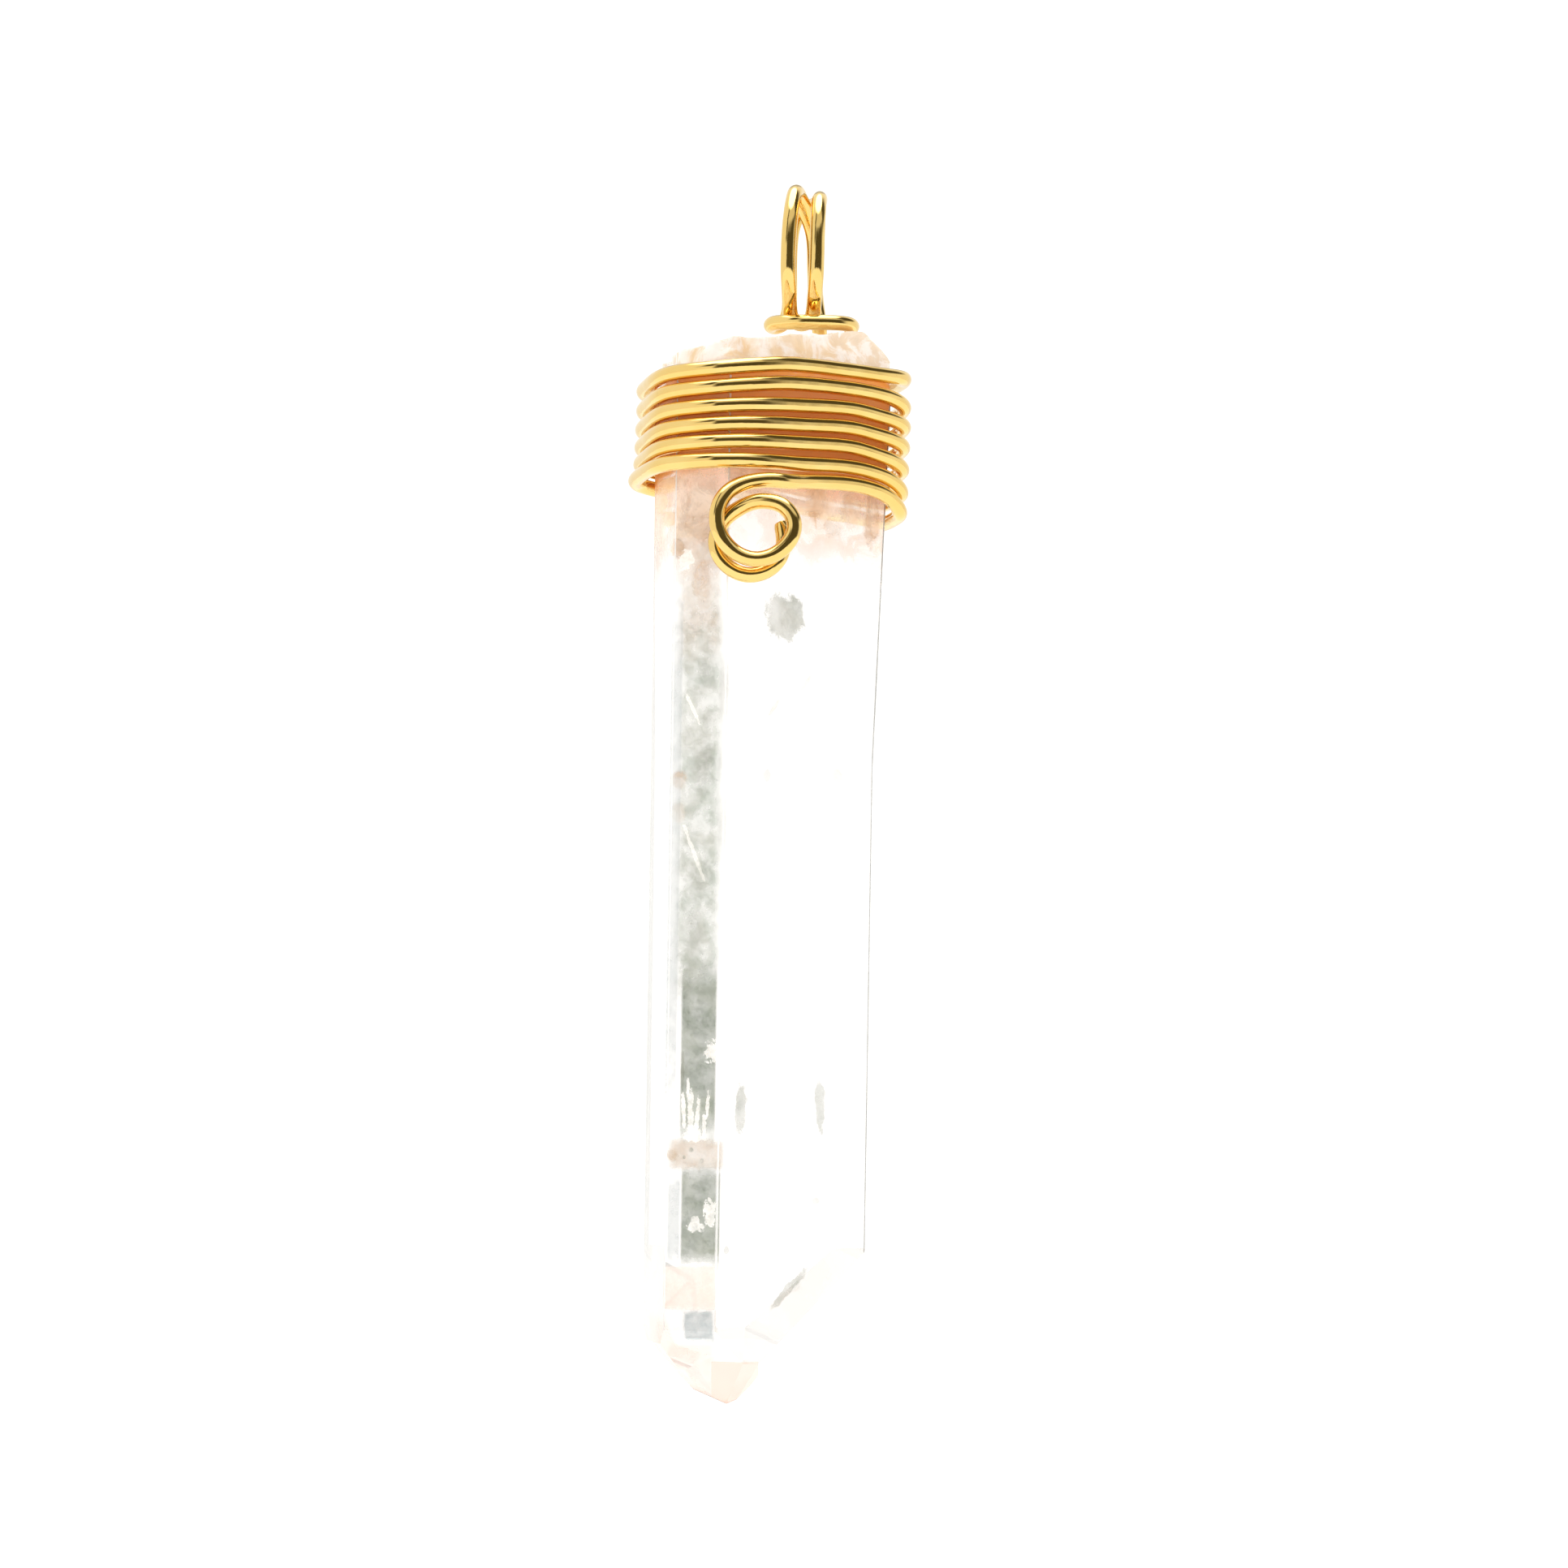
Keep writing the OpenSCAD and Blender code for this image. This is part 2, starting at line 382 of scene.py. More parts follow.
@dataclass(frozen=True)
class ClearQuartz(Finish):
    """Clear natural quartz, milky on its broken crown; under the wire it is partly stained and partly
    painted with gold light reflected from the wire, and at its point it carries a painted peach reflection.

    Places are in metres; each pair says where a smooth step starts and ends.
    """

    name: str = "clear_quartz"
    colour: tuple[float, float, float] = (0.985, 0.98, 0.975)
    roughness: float = 0.0
    sheen: Sheen = Sheen.CLEAR
    crown_height: float = -0.0095
    point_height: float = -0.0525
    haze_density: float = 38.0
    haze_glow_colour: tuple[float, float, float] = (1.16, 1.13, 1.09)
    stain_and_gold_light_foot: tuple[float, float] = (-0.0157, -0.0150)
    fading_stain_and_gold_light_foot: tuple[float, float] = (-0.0198, -0.0172)
    wrap_top: tuple[float, float] = (-0.0095, -0.0099)
    milk_foot: tuple[float, float] = (-0.0099, -0.0094)
    gilt_top: tuple[float, float] = (-0.0074, -0.0090)
    back_side: tuple[float, float] = (-0.001, 0.003)
    facet_left: tuple[float, float] = (-0.00402, -0.00394)
    facet_right: tuple[float, float] = (-0.00158, -0.00166)
    facet_top: tuple[float, float] = (-0.06032, -0.06040)
    facet_front: tuple[float, float] = (-0.0022, -0.0028)
    cream_side: tuple[float, float] = (-0.0035, -0.0041)
    cream_top: tuple[float, float] = (-0.0591, -0.0597)
    cream_front: tuple[float, float] = (-0.0010, -0.0030)
    cream_rise: tuple[float, float] = (-0.0056, -0.0064)

    def haze(self, graph: Graph) -> Any:
        """Faint even milkiness: what it takes from light that crosses the stone, it gives back as white,
        through a painted glow in place of scattered light.

        Args:
            graph: the material's graph.

        Returns:
            The volume's socket.
        """
        takes = graph.node("ShaderNodeVolumeAbsorption", None, {
            "Color": (0.0, 0.0, 0.0, 1.0), "Density": self.haze_density})
        # Painted light: the emission makes the stone's inside glow white, standing in for light scattered by
        # the milkiness.
        gives = graph.node("ShaderNodeEmission", None, {
            "Color": (*self.haze_glow_colour, 1.0), "Strength": self.haze_density})
        both = {0: takes.outputs[0], 1: gives.outputs[0]}
        return graph.node("ShaderNodeAddShader", None, both).outputs[0]

    def relief(self, graph: Graph, place: Any, height: Value, broken: Value) -> Value:
        """Growth lines across the prism, slow waves all over and ripples on the break.

        Args:
            graph: the material's graph.
            place: coordinates.
            height: how high the surface point lies.
            broken: 1 on the break and 0 below it.

        Returns:
            The height of the relief, in shares of the bump's distance.
        """
        prism = height.step(self.point_height - 0.004, self.point_height) * height.step(
            self.crown_height, self.crown_height - 0.0008)
        fine = graph.noise(graph.stretched(place, (0.10, 0.10, 1.0)), 1500.0, 3.0, 0.6)
        bands = graph.noise(graph.stretched(place, (0.05, 0.05, 1.0)), 420.0, 2.0, 0.5)
        wavy = graph.noise(place, 160.0, 2.0, 0.5)
        shelly = graph.noise(place, 620.0, 3.0, 0.55, 1.2)
        return prism * (fine * 0.10 + bands * 0.28) + wavy * 0.45 + broken * shelly * 3.0

    def dress(self, graph: Graph, shader: Any) -> Any:
        """Relief and frost, and a dull skin over the clear stone where it is stained, where it is milky and
        where reflected light is painted on it.

        Under the wire the stone is orange, with peach fading out below, partly stained and partly painted
        with the gold wire's reflected light; the milk and its gilded spots cover the crown. At the point a
        small facet and the side left of it are cream, a painted reflection of the wire seen inside the
        stone.

        Args:
            graph: the material's graph.
            shader: the principled shader.

        Returns:
            The surface's socket.
        """
        place = graph.place()
        x, y, height = graph.parts(place)
        broken = height.step(self.crown_height - 0.0006, self.crown_height + 0.0012)
        frost = graph.noise(place, 900.0, 4.0, 0.7)
        normal = graph.bump(self.relief(graph, place, height, broken), 0.00002)
        graph.fill(shader, {"Roughness": broken * 0.06 + frost.step(0.68, 0.8) * 0.05, "Normal": normal})
        smear = graph.noise(place, 330.0, 4.0, 0.6)
        broad = graph.noise(place, 210.0, 3.0, 0.55)
        speck = graph.noise(place, 640.0, 5.0, 0.62, 0.8)
        edge = height + (smear - 0.5) * 0.0010
        soft = height + (broad - 0.5) * 0.0032
        behind = y.step(*self.back_side)
        lifted = edge - (x + 0.0019) * (0.07 - behind * 0.21) + behind * 0.0007
        below_top = lifted.step(*self.wrap_top)
        # Painted light in part: the orange under the wire and the peach below it also carry gold light
        # reflected from the wire.
        stain_and_gold_light = edge.step(*self.stain_and_gold_light_foot) * below_top
        fading_stain_and_gold_light = soft.step(*self.fading_stain_and_gold_light_foot) * below_top
        milk = lifted.step(*self.milk_foot)
        gilded = lifted.step(*self.gilt_top) * broad.step(0.44, 0.56)
        # Painted reflection: the small facet at the point and the side left of it show the gold wire as seen
        # reflected inside the stone.
        facet = x.step(*self.facet_left) * x.step(*self.facet_right)
        facet = facet * height.step(*self.facet_top) * y.step(*self.facet_front)
        sunk = edge - x.step(*self.cream_rise) * 0.0011
        cream = x.step(*self.cream_side) * sunk.step(*self.cream_top) * y.step(*self.cream_front)
        marbled = speck + (x + 0.0029).absolute() * 22.0 - 0.085
        crown_colour = graph.blend(marbled.step(0.46, 0.56), (1.0, 0.98, 0.95), (0.87, 0.74, 0.58))
        crown_colour = graph.blend(gilded * speck.step(0.36, 0.54), crown_colour, (0.84, 0.63, 0.36))
        # Skin colours: the peach and orange are partly stained colour and partly painted gold reflection;
        # the cream at the point is painted reflection.
        skin_colour = graph.blend(smear.step(0.40, 0.62), (1.0, 0.84, 0.70), (0.93, 0.64, 0.42))
        skin_colour = graph.blend(stain_and_gold_light, skin_colour, (1.0, 0.40, 0.05))
        skin_colour = graph.blend(milk, skin_colour, crown_colour)
        skin_colour = graph.blend(cream.larger(facet), skin_colour, (0.95, 0.60, 0.47))
        skin = graph.node("ShaderNodeBsdfPrincipled", None, {
            "Base Color": skin_colour, "Roughness": 0.45, "IOR": 1.544, "Specular IOR Level": 0.15,
            "Normal": normal})
        patchy = smear.step(0.25, 0.65) * 0.5 + 0.5
        cover = (stain_and_gold_light * 0.93).larger(fading_stain_and_gold_light * (speck.step(0.40, 0.60) * 0.42 + 0.16))
        cover = cover.larger(milk * (patchy * 0.45 + 0.42))
        cover = cover.larger(facet * 0.50).larger(cream * (smear.step(0.3, 0.6) * 0.2 + 0.15))
        return graph.covered(cover, shader, skin)


@dataclass(frozen=True)
class WornEdgeWithPaintedOutline(Finish):
    """Edges of the stone, rubbed dull here and there, with painted grey shade where they face sideways, for
    the stone's dark outline.
    """

    name: str = "quartz_edge_with_painted_outline"
    colour: tuple[float, float, float] = (0.985, 0.98, 0.975)
    front_colour: tuple[float, float, float] = (0.90, 0.90, 0.88)
    painted_outline_colour: tuple[float, float, float] = (0.36, 0.36, 0.34)
    roughness: float = 0.12
    sheen: Sheen = Sheen.CLEAR

    def dress(self, graph: Graph, shader: Any) -> Any:
        """Rub marks, pale on the edges in front, and painted grey shade on those that face sideways, for the
        stone's dark outline.

        Args:
            graph: the material's graph.
            shader: the principled shader.

        Returns:
            The surface's socket.
        """
        place = graph.place()
        across, facing, _ = graph.parts(graph.node("ShaderNodeTexCoord").outputs["Normal"])
        rubbed = graph.noise(place, 700.0, 4.0, 0.65)
        # Painted shade: edges that face sideways turn grey, for the dark outline of the clear stone.
        sideways = (1.0 - facing.absolute()).step(0.56, 0.70).larger(across.step(0.70, 0.80))
        normal = graph.bump(graph.noise(place, 4200.0, 3.0, 0.6), 0.00001, 0.6)
        graph.fill(shader, {"Normal": normal})
        dull = graph.node("ShaderNodeBsdfPrincipled", None, {
            "Base Color": graph.blend(sideways, self.front_colour, self.painted_outline_colour), "Roughness": 0.5,
            "Normal": normal})
        marks = rubbed.step(0.40, 0.66)
        cover = (sideways * (marks * 0.25 + 0.55)).larger(marks * 0.20 + 0.68)
        return graph.covered(cover, shader, dull)


class Rim(Enum):
    """How a sheet inside the stone ends."""

    STRAIGHT = "straight"
    RAGGED = "ragged"


@dataclass(frozen=True)
class Veil(Finish):
    """Sheet inside the stone, patchy in its cover and in its colour; a sheet given a glow gives off painted
    light.
    """

    name: str = "soft_cloud_and_reflection"
    colour: tuple[float, float, float] = (0.43, 0.52, 0.40)
    second: tuple[float, float, float] = (0.60, 0.63, 0.52)
    roughness: float = 0.6
    painted_glow: float = 0.0
    density: float = 0.68
    grain: float = 1000.0
    softness: float = 0.2
    patchiness: float = 0.55
    rim: Rim = Rim.STRAIGHT
    side_fade: float = 0.55
    end_fade: float = 0.15
    sway: float = 0.2

    def dress(self, graph: Graph, shader: Any) -> Any:
        """Alpha from the sheet's own rim, cloudy noise and the weight kept at each point.

        Args:
            graph: the material's graph.
            shader: the principled shader.

        Returns:
            The surface's socket.
        """
        place = graph.place()
        u, v, _ = graph.parts(graph.node("ShaderNodeUVMap", {"uv_map": "sheet"}).outputs[0])
        across, up = (u * 2.0 - 1.0).absolute(), (v * 2.0 - 1.0).absolute()
        shift = (graph.noise(place, self.grain * 1.3, 4.0, 0.65) - 0.5) * self.sway
        if self.rim is Rim.STRAIGHT:
            inside = (1.0 - across).step(0.0, self.side_fade) * (1.0 - up + shift).step(0.02, self.end_fade)
        else:
            inside = (0.88 - (across * across + up * up) ** 0.5 + shift).step(0.0, self.side_fade)
            inside = inside * (1.0 - across).step(0.0, 0.1) * (1.0 - up).step(0.0, 0.1)
        cloud = graph.noise(place, self.grain, 6.0, 0.62).step(0.5 - self.softness, 0.5 + self.softness)
        weight = graph.value(graph.node("ShaderNodeAttribute", {"attribute_name": "weight"}).outputs["Fac"])
        cover = inside * (1.0 - (1.0 - cloud) * self.patchiness) * weight * self.density
        tint = graph.noise(place, self.grain * 0.55, 4.0, 0.6)
        colour = graph.blend(tint.step(0.36, 0.64), self.colour, self.second)
        # Painted light: with a glow strength the sheet emits its own colour, though it is no lamp.
        graph.fill(shader, {"Base Color": colour, "Alpha": cover, "Emission Color": (*self.colour, 1.0),
                            "Emission Strength": self.painted_glow})
        return shader.outputs[0]


@dataclass(frozen=True)
class PaleGround(Finish):
    """Plain pale floor."""

    name: str = "pale_floor"
    colour: tuple[float, float, float] = (0.95, 0.935, 0.92)
    roughness: float = 0.8


# Meshes


def cubic(t: Array, start: Array, leave: Array, end: Array, arrive: Array) -> Array:
    """Smooth cubic between two places, with the way it leaves the first and arrives at the last.

    Args:
        t: share of the stretch, from 0 to 1.
        start: first place.
        leave: slope at the first place, over the whole stretch.
        end: last place.
        arrive: slope at the last place, over the whole stretch.

    Returns:
        The places on the curve.
    """
    return ((2 * t**3 - 3 * t**2 + 1) * start + (t**3 - 2 * t**2 + t) * leave
            + (3 * t**2 - 2 * t**3) * end + (t**3 - t**2) * arrive)


def smooth_value(table: Array, keys: Array) -> Array:
    """Smooth curve through the rows of a table.

    Each stretch is a cubic that meets its two rows with the slope between the rows beside them.

    Args:
        table: rows of a key and one or more values.
        keys: where to read the curve.

    Returns:
        One row of values for each key.
    """
    spots, values = table[:, 0], table[:, 1:]
    low = np.maximum(np.arange(len(spots)) - 1, 0)
    high = np.minimum(np.arange(len(spots)) + 1, len(spots) - 1)
    slopes = (values[high] - values[low]) / (spots[high] - spots[low])[:, None]
    row = np.clip(np.searchsorted(spots, keys, side="right") - 1, 0, len(spots) - 2)
    stride = (spots[row + 1] - spots[row])[:, None]
    t = ((keys - spots[row])[:, None]) / stride
    return cubic(t, values[row], stride * slopes[row], values[row + 1], stride * slopes[row + 1])


def spaced(path: Array, stride: float) -> Array:
    """Path with its points moved to even distances along it.

    Args:
        path: points in order.
        stride: wanted distance between points.

    Returns:
        The new points, with the same ends.
    """
    gone = np.concatenate([[0.0], np.cumsum(np.linalg.norm(np.diff(path, axis=0), axis=1))])
    wanted = np.linspace(0.0, gone[-1], int(round(gone[-1] / stride)) + 1)
    return np.stack([np.interp(wanted, gone, path[:, k]) for k in range(3)], axis=1)


def eased(path: Array, rounds: int) -> Array:
    """Path with small kinks smoothed out.

    In each round an inner point moves to half itself plus a quarter of each neighbour.

    Args:
        path: points in order.
        rounds: how often the points move.

    Returns:
        The new points, with the same ends.
    """
    for _ in range(rounds):
        inner = 0.25 * path[:-2] + 0.5 * path[1:-1] + 0.25 * path[2:]
        path = np.concatenate([path[:1], inner, path[-1:]])
    return path


def unit(vectors: Array) -> Array:
    """Vectors scaled to length 1."""
    return vectors / np.linalg.norm(vectors, axis=-1, keepdims=True)


def section_frames(path: Array) -> tuple[Array, Array]:
    """Two directions across a path that do not twist along it.

    A first pair is squared from one of two fixed directions, whichever lies further from the path.
    The turn between neighbouring pairs is summed along the path and taken away again.

    Args:
        path: points in order.

    Returns:
        The two directions at each point.
    """
    ways = unit(np.gradient(path, axis=0))
    share = ways[:, :1] ** 2
    guide = unit((1.0 - share) * np.array([1.0, 0.0, 0.0]) + share * np.array([0.0, 0.35, 1.0]))
    side = unit(guide - (guide * ways).sum(1, keepdims=True) * ways)
    other = np.cross(ways, side)
    turn = np.arctan2((other[1:] * side[:-1]).sum(1), (side[1:] * side[:-1]).sum(1))
    angle = -np.concatenate([[0.0], np.cumsum(turn)])[:, None]
    return (np.cos(angle) * side - np.sin(angle) * other, np.sin(angle) * side + np.cos(angle) * other)


def put_mesh(name: str, points: Array, faces: Iterable[Sequence[int]], smooth: bool = True) -> Any:
    """Make a mesh object at the origin.

    Args:
        name: the piece's name.
        points: corner points in millimetres.
        faces: corner numbers of each face.
        smooth: whether the faces are shaded smoothly.

    Returns:
        The new object.
    """
    mesh = bpy.data.meshes.new(name)
    mesh.from_pydata((points * MM).tolist(), [], [list(map(int, face)) for face in faces])
    mesh.polygons.foreach_set("use_smooth", np.full(len(mesh.polygons), smooth))
    mesh.update()
    made = bpy.data.objects.new(name, mesh)
    bpy.context.scene.collection.objects.link(made)
    return made


def loop_corners(mesh: Any) -> Array:
    """Corner point number of each face corner.

    Args:
        mesh: the mesh.

    Returns:
        The numbers in the order of the mesh's loops.
    """
    corners = np.empty(len(mesh.loops), dtype=np.int64)
    mesh.loops.foreach_get("vertex_index", corners)
    return corners


@dataclass
class RoundWire:
    """Round wire swept along a path, with slightly rounded cut ends."""

    name: str
    path: Array
    radius: float
    sides: int = 28
    rounding: float = 0.05
    lip_rings: int = 3
    pinch: tuple[float, float] = (0.0, 0.0)
    pinch_reach: float = 0.5
    wavers: tuple = ((0.006, 1.9, 0.4), (0.004, 5.3, 0.0))

    def rings(self) -> tuple[Array, Array, Array]:
        """Grid of points: along the path by rings, and round each ring.

        A point is the path's point plus the radius times the ring's own two directions by cosine and sine
        of the angle round the wire. The radius wavers by sines of the distance gone, given as size, rate and
        start. A pinched end is flattened on one side, and the last rings shrink to round the cut's edge.

        Returns:
            The grid of points, the distance along the wire of each ring, and the share round of each column.
        """
        path = self.path
        side, other = section_frames(path)
        ways = unit(np.gradient(path, axis=0))
        gone = np.concatenate([[0.0], np.cumsum(np.linalg.norm(np.diff(path, axis=0), axis=1))])
        left = np.minimum(gone, gone[-1] - gone)
        waver = 1.0 + sum(size * np.sin(gone * rate + start) for size, rate, start in self.wavers)
        radius = self.radius * waver
        share = np.arange(self.sides) / self.sides
        cosine, sine = np.cos(2 * np.pi * share), np.sin(2 * np.pi * share)
        circle = cosine[None, :, None] * side[:, None, :] + sine[None, :, None] * other[:, None, :]
        pinch = np.where(gone < gone[-1] / 2, self.pinch[0], self.pinch[1])
        squeeze = pinch * np.clip(1 - left / self.pinch_reach, 0, 1) ** 2
        flat = 1.0 - squeeze[:, None] * np.abs(cosine)[None, :]
        body = path[:, None, :] + (radius[:, None] * flat)[:, :, None] * circle
        steps = np.linspace(0.0, np.pi / 2, self.lip_rings + 1)[1:]
        shrink = (1 - self.rounding * (1 - np.cos(steps)) / self.radius)[:, None, None]
        past = (self.rounding * np.sin(steps))[:, None, None]
        lips = []
        for end, way in ((0, -ways[0]), (-1, ways[-1])):
            middle = path[end]
            lip = middle + (body[end] - middle)[None] * shrink + past * way
            lips.append(lip - self.rounding * way)
        body[0] -= self.rounding * -ways[0]
        body[-1] -= self.rounding * ways[-1]
        grid = np.concatenate([lips[0][::-1], body, lips[1]])
        far = np.concatenate([np.zeros(self.lip_rings), gone, np.full(self.lip_rings, gone[-1])])
        return grid, far, share

    def build(self) -> Any:
        """Make the wire's mesh, with a map of distance along and share round the wire.

        Returns:
            The wire's object; its faces at the two cuts use the second material slot.
        """
        grid, far, share = self.rings()
        count, sides = grid.shape[:2]
        numbers = np.arange(count * sides).reshape(count, sides)
        ahead = np.roll(numbers, -1, axis=1)
        quads = np.stack([numbers[:-1], ahead[:-1], ahead[1:], numbers[1:]], axis=-1).reshape(-1, 4)
        poles = np.stack([grid[0].mean(0), grid[-1].mean(0)])
        first, last = count * sides, count * sides + 1
        start = np.stack([np.full(sides, first), ahead[0], numbers[0]], axis=-1)
        end = np.stack([np.full(sides, last), numbers[-1], ahead[-1]], axis=-1)
        points = np.concatenate([grid.reshape(-1, 3), poles])
        made = put_mesh(self.name, points, [*quads, *start, *end])
        mesh = made.data
        cut = np.zeros(len(mesh.polygons), dtype=np.int32)
        cut[len(quads):] = 1
        mesh.polygons.foreach_set("material_index", cut)
        corners = loop_corners(mesh)
        along = np.concatenate([np.repeat(far, sides), [far[0], far[-1]]])
        around = np.concatenate([np.tile(share, count), [0.0, 0.0]])
        layer = mesh.uv_layers.new(name="wire")
        layer.data.foreach_set("uv", np.stack([along[corners], around[corners]], axis=1).ravel())
        return made


def dressed(piece: Any, slot: str, *materials: Any) -> Any:
    """Give a piece its materials and let it ride.

    Args:
        piece: the object.
        slot: not used.
        materials: the materials in slot order.

    Returns:
        The same object.
    """
    for material in materials:
        piece.data.materials.append(material)
    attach(piece, "root")
    return piece


def level(azimuth: Array) -> Array:
    """Level direction at an azimuth in degrees."""
    angle = np.radians(azimuth)
    return np.stack([np.sin(angle), -np.cos(angle), np.zeros_like(angle)], axis=-1)


@dataclass
class Wrap:
    """The scroll in front and the wire wound up the stone, with seven strands at the front right."""

    wire_radius: float = 0.4
    stone_shift: float = -1.85
    scroll_x: float = -2.35
    scroll_z: float = -18.67
    squareness: float = 10.0
    first_angle: float = 24.0
    past_last_turn: float = 148.0
    end_rise: float = 0.42
    point_gap: float = 0.16
    ease_rounds: int = 6
    side_table: tuple = (
        (-78, 6.7), (-21, 8.36), (40, 5.45), (100, 7.2), (160, 7.76), (220, 4.78),
    )
    height_azimuths: tuple = (-90, -20, 10, 50, 72, 92)
    height_table: tuple = (
        (-15.95, -15.95, -15.8, -15.45, -15.6, -16.35),
        (-14.97, -15.12, -14.88, -14.56, -14.71, -15.28),
        (-14.1, -14.16, -13.83, -13.51, -13.72, -14.05),
        (-13.2, -13.26, -12.88, -12.52, -12.66, -12.86),
        (-12.25, -12.33, -11.88, -11.52, -11.64, -11.78),
        (-11.25, -11.35, -10.76, -10.48, -10.5, -10.74),
        (-10.2, -10.4, -9.78, -9.53, -9.43, -9.2),
    )
    push_table: tuple = (
        (0.25, -0.15), (0.25, -0.1), (0.0, -0.06), (-0.04, -0.03), (-0.06, 0.0), (-0.1, 0.0), (-0.1, 0.0),
    )
    scroll_table: tuple = (
        (-21, 2.91, -7.05), (-1, 2.61, -7.5), (43, 2.36, -8.15), (77, 2.03, -8.45), (126, 1.64, -8.45),
        (183, 1.57, -8.4), (232, 1.7, -8.35), (277, 1.99, -8.25), (312, 1.86, -8.1), (342, 1.58, -7.95),
        (397, 1.44, -7.6), (447, 1.89, -7.56), (471, 2.15, -7.58), (494, 2.27, -7.6), (531, 2.28, -7.6),
        (574, 1.93, -7.45), (613, 1.5, -7.1), (654, 1.34, -7.0),
    )

    def coil(self) -> Array:
        """Points of the winding, about six and a third turns.

        The radius is that of a six-sided outline with round corners, from the power mean of the shares of
        its sides; the height and a small push outwards are smooth curves of the whole angle turned.

        Returns:
            The points in order.
        """
        last = len(self.height_table) - 1
        end = 360.0 * last + self.past_last_turn
        heights, pushes = [], []
        for turn, (row, push) in enumerate(zip(self.height_table, self.push_table)):
            heights += [(360 * turn + a, z) for a, z in zip(self.height_azimuths, row)]
            if turn < last:
                heights.append((360 * turn + 180, (row[5] + self.height_table[turn + 1][0]) / 2))
            pushes += [(360 * turn - 90, push[0]), (360 * turn, 0), (360 * turn + 88, push[1]),
                       (360 * turn + 180, 0)]
        heights.append((end, self.height_table[last][5] + self.end_rise))
        angle = np.linspace(self.first_angle, end, 2400)
        sides = np.array(self.side_table, dtype=float)
        share = np.maximum(0, np.cos(np.radians(angle[:, None] - sides[None, :, 0]))) / sides[None, :, 1]
        radius = (share**self.squareness).sum(1) ** (-1 / self.squareness)
        radius = radius + smooth_value(np.array(pushes, dtype=float), angle)[:, 0]
        points = level(angle) * radius[:, None]
        points[:, 0] += self.stone_shift
        points[:, 2] = smooth_value(np.array(heights, dtype=float), angle)[:, 0]
        return points

    def scroll(self) -> Array:
        """Points of the scroll from its inner cut end to where it leaves for the wrap.

        Radius and depth are smooth curves of the angle turned from the scroll's top.

        Returns:
            The points in order.
        """
        table = np.array(self.scroll_table, dtype=float)
        turn = np.linspace(table[-1, 0], table[0, 0], 500)
        radius, depth = smooth_value(table, turn).T
        angle = np.radians(turn)
        x = self.scroll_x - radius * np.sin(angle)
        z = self.scroll_z + radius * np.cos(angle)
        return np.stack([x, depth, z], 1)

    def path(self) -> Array:
        """Whole middle line of the wire, from the scroll's end to the tail of the wrap.

        Returns:
            The points at even distances.
        """
        curl, turns = self.scroll(), self.coil()
        leave, arrive = unit(curl[-1] - curl[-2]), unit(turns[1] - turns[0])
        reach = np.linalg.norm(turns[0] - curl[-1])
        t = np.linspace(0, 1, 40)[1:-1, None]
        joint = cubic(t, curl[-1], reach * leave, turns[0], reach * arrive)
        return eased(spaced(np.concatenate([curl, joint, turns]), self.point_gap), self.ease_rounds)

    def build(self, plate: Any, cut: Any) -> Any:
        """Make the wire and put it in the place of the CAD solid.

        Args:
            plate: material of the wire.
            cut: material of its cut ends.

        Returns:
            The wire's object.
        """
        wire = RoundWire("wrap_wire_polished", self.path(), self.wire_radius, pinch=(0.22, 0.0)).build()
        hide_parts("wrap_wire")
        return dressed(wire, "gold_wire", plate, cut)


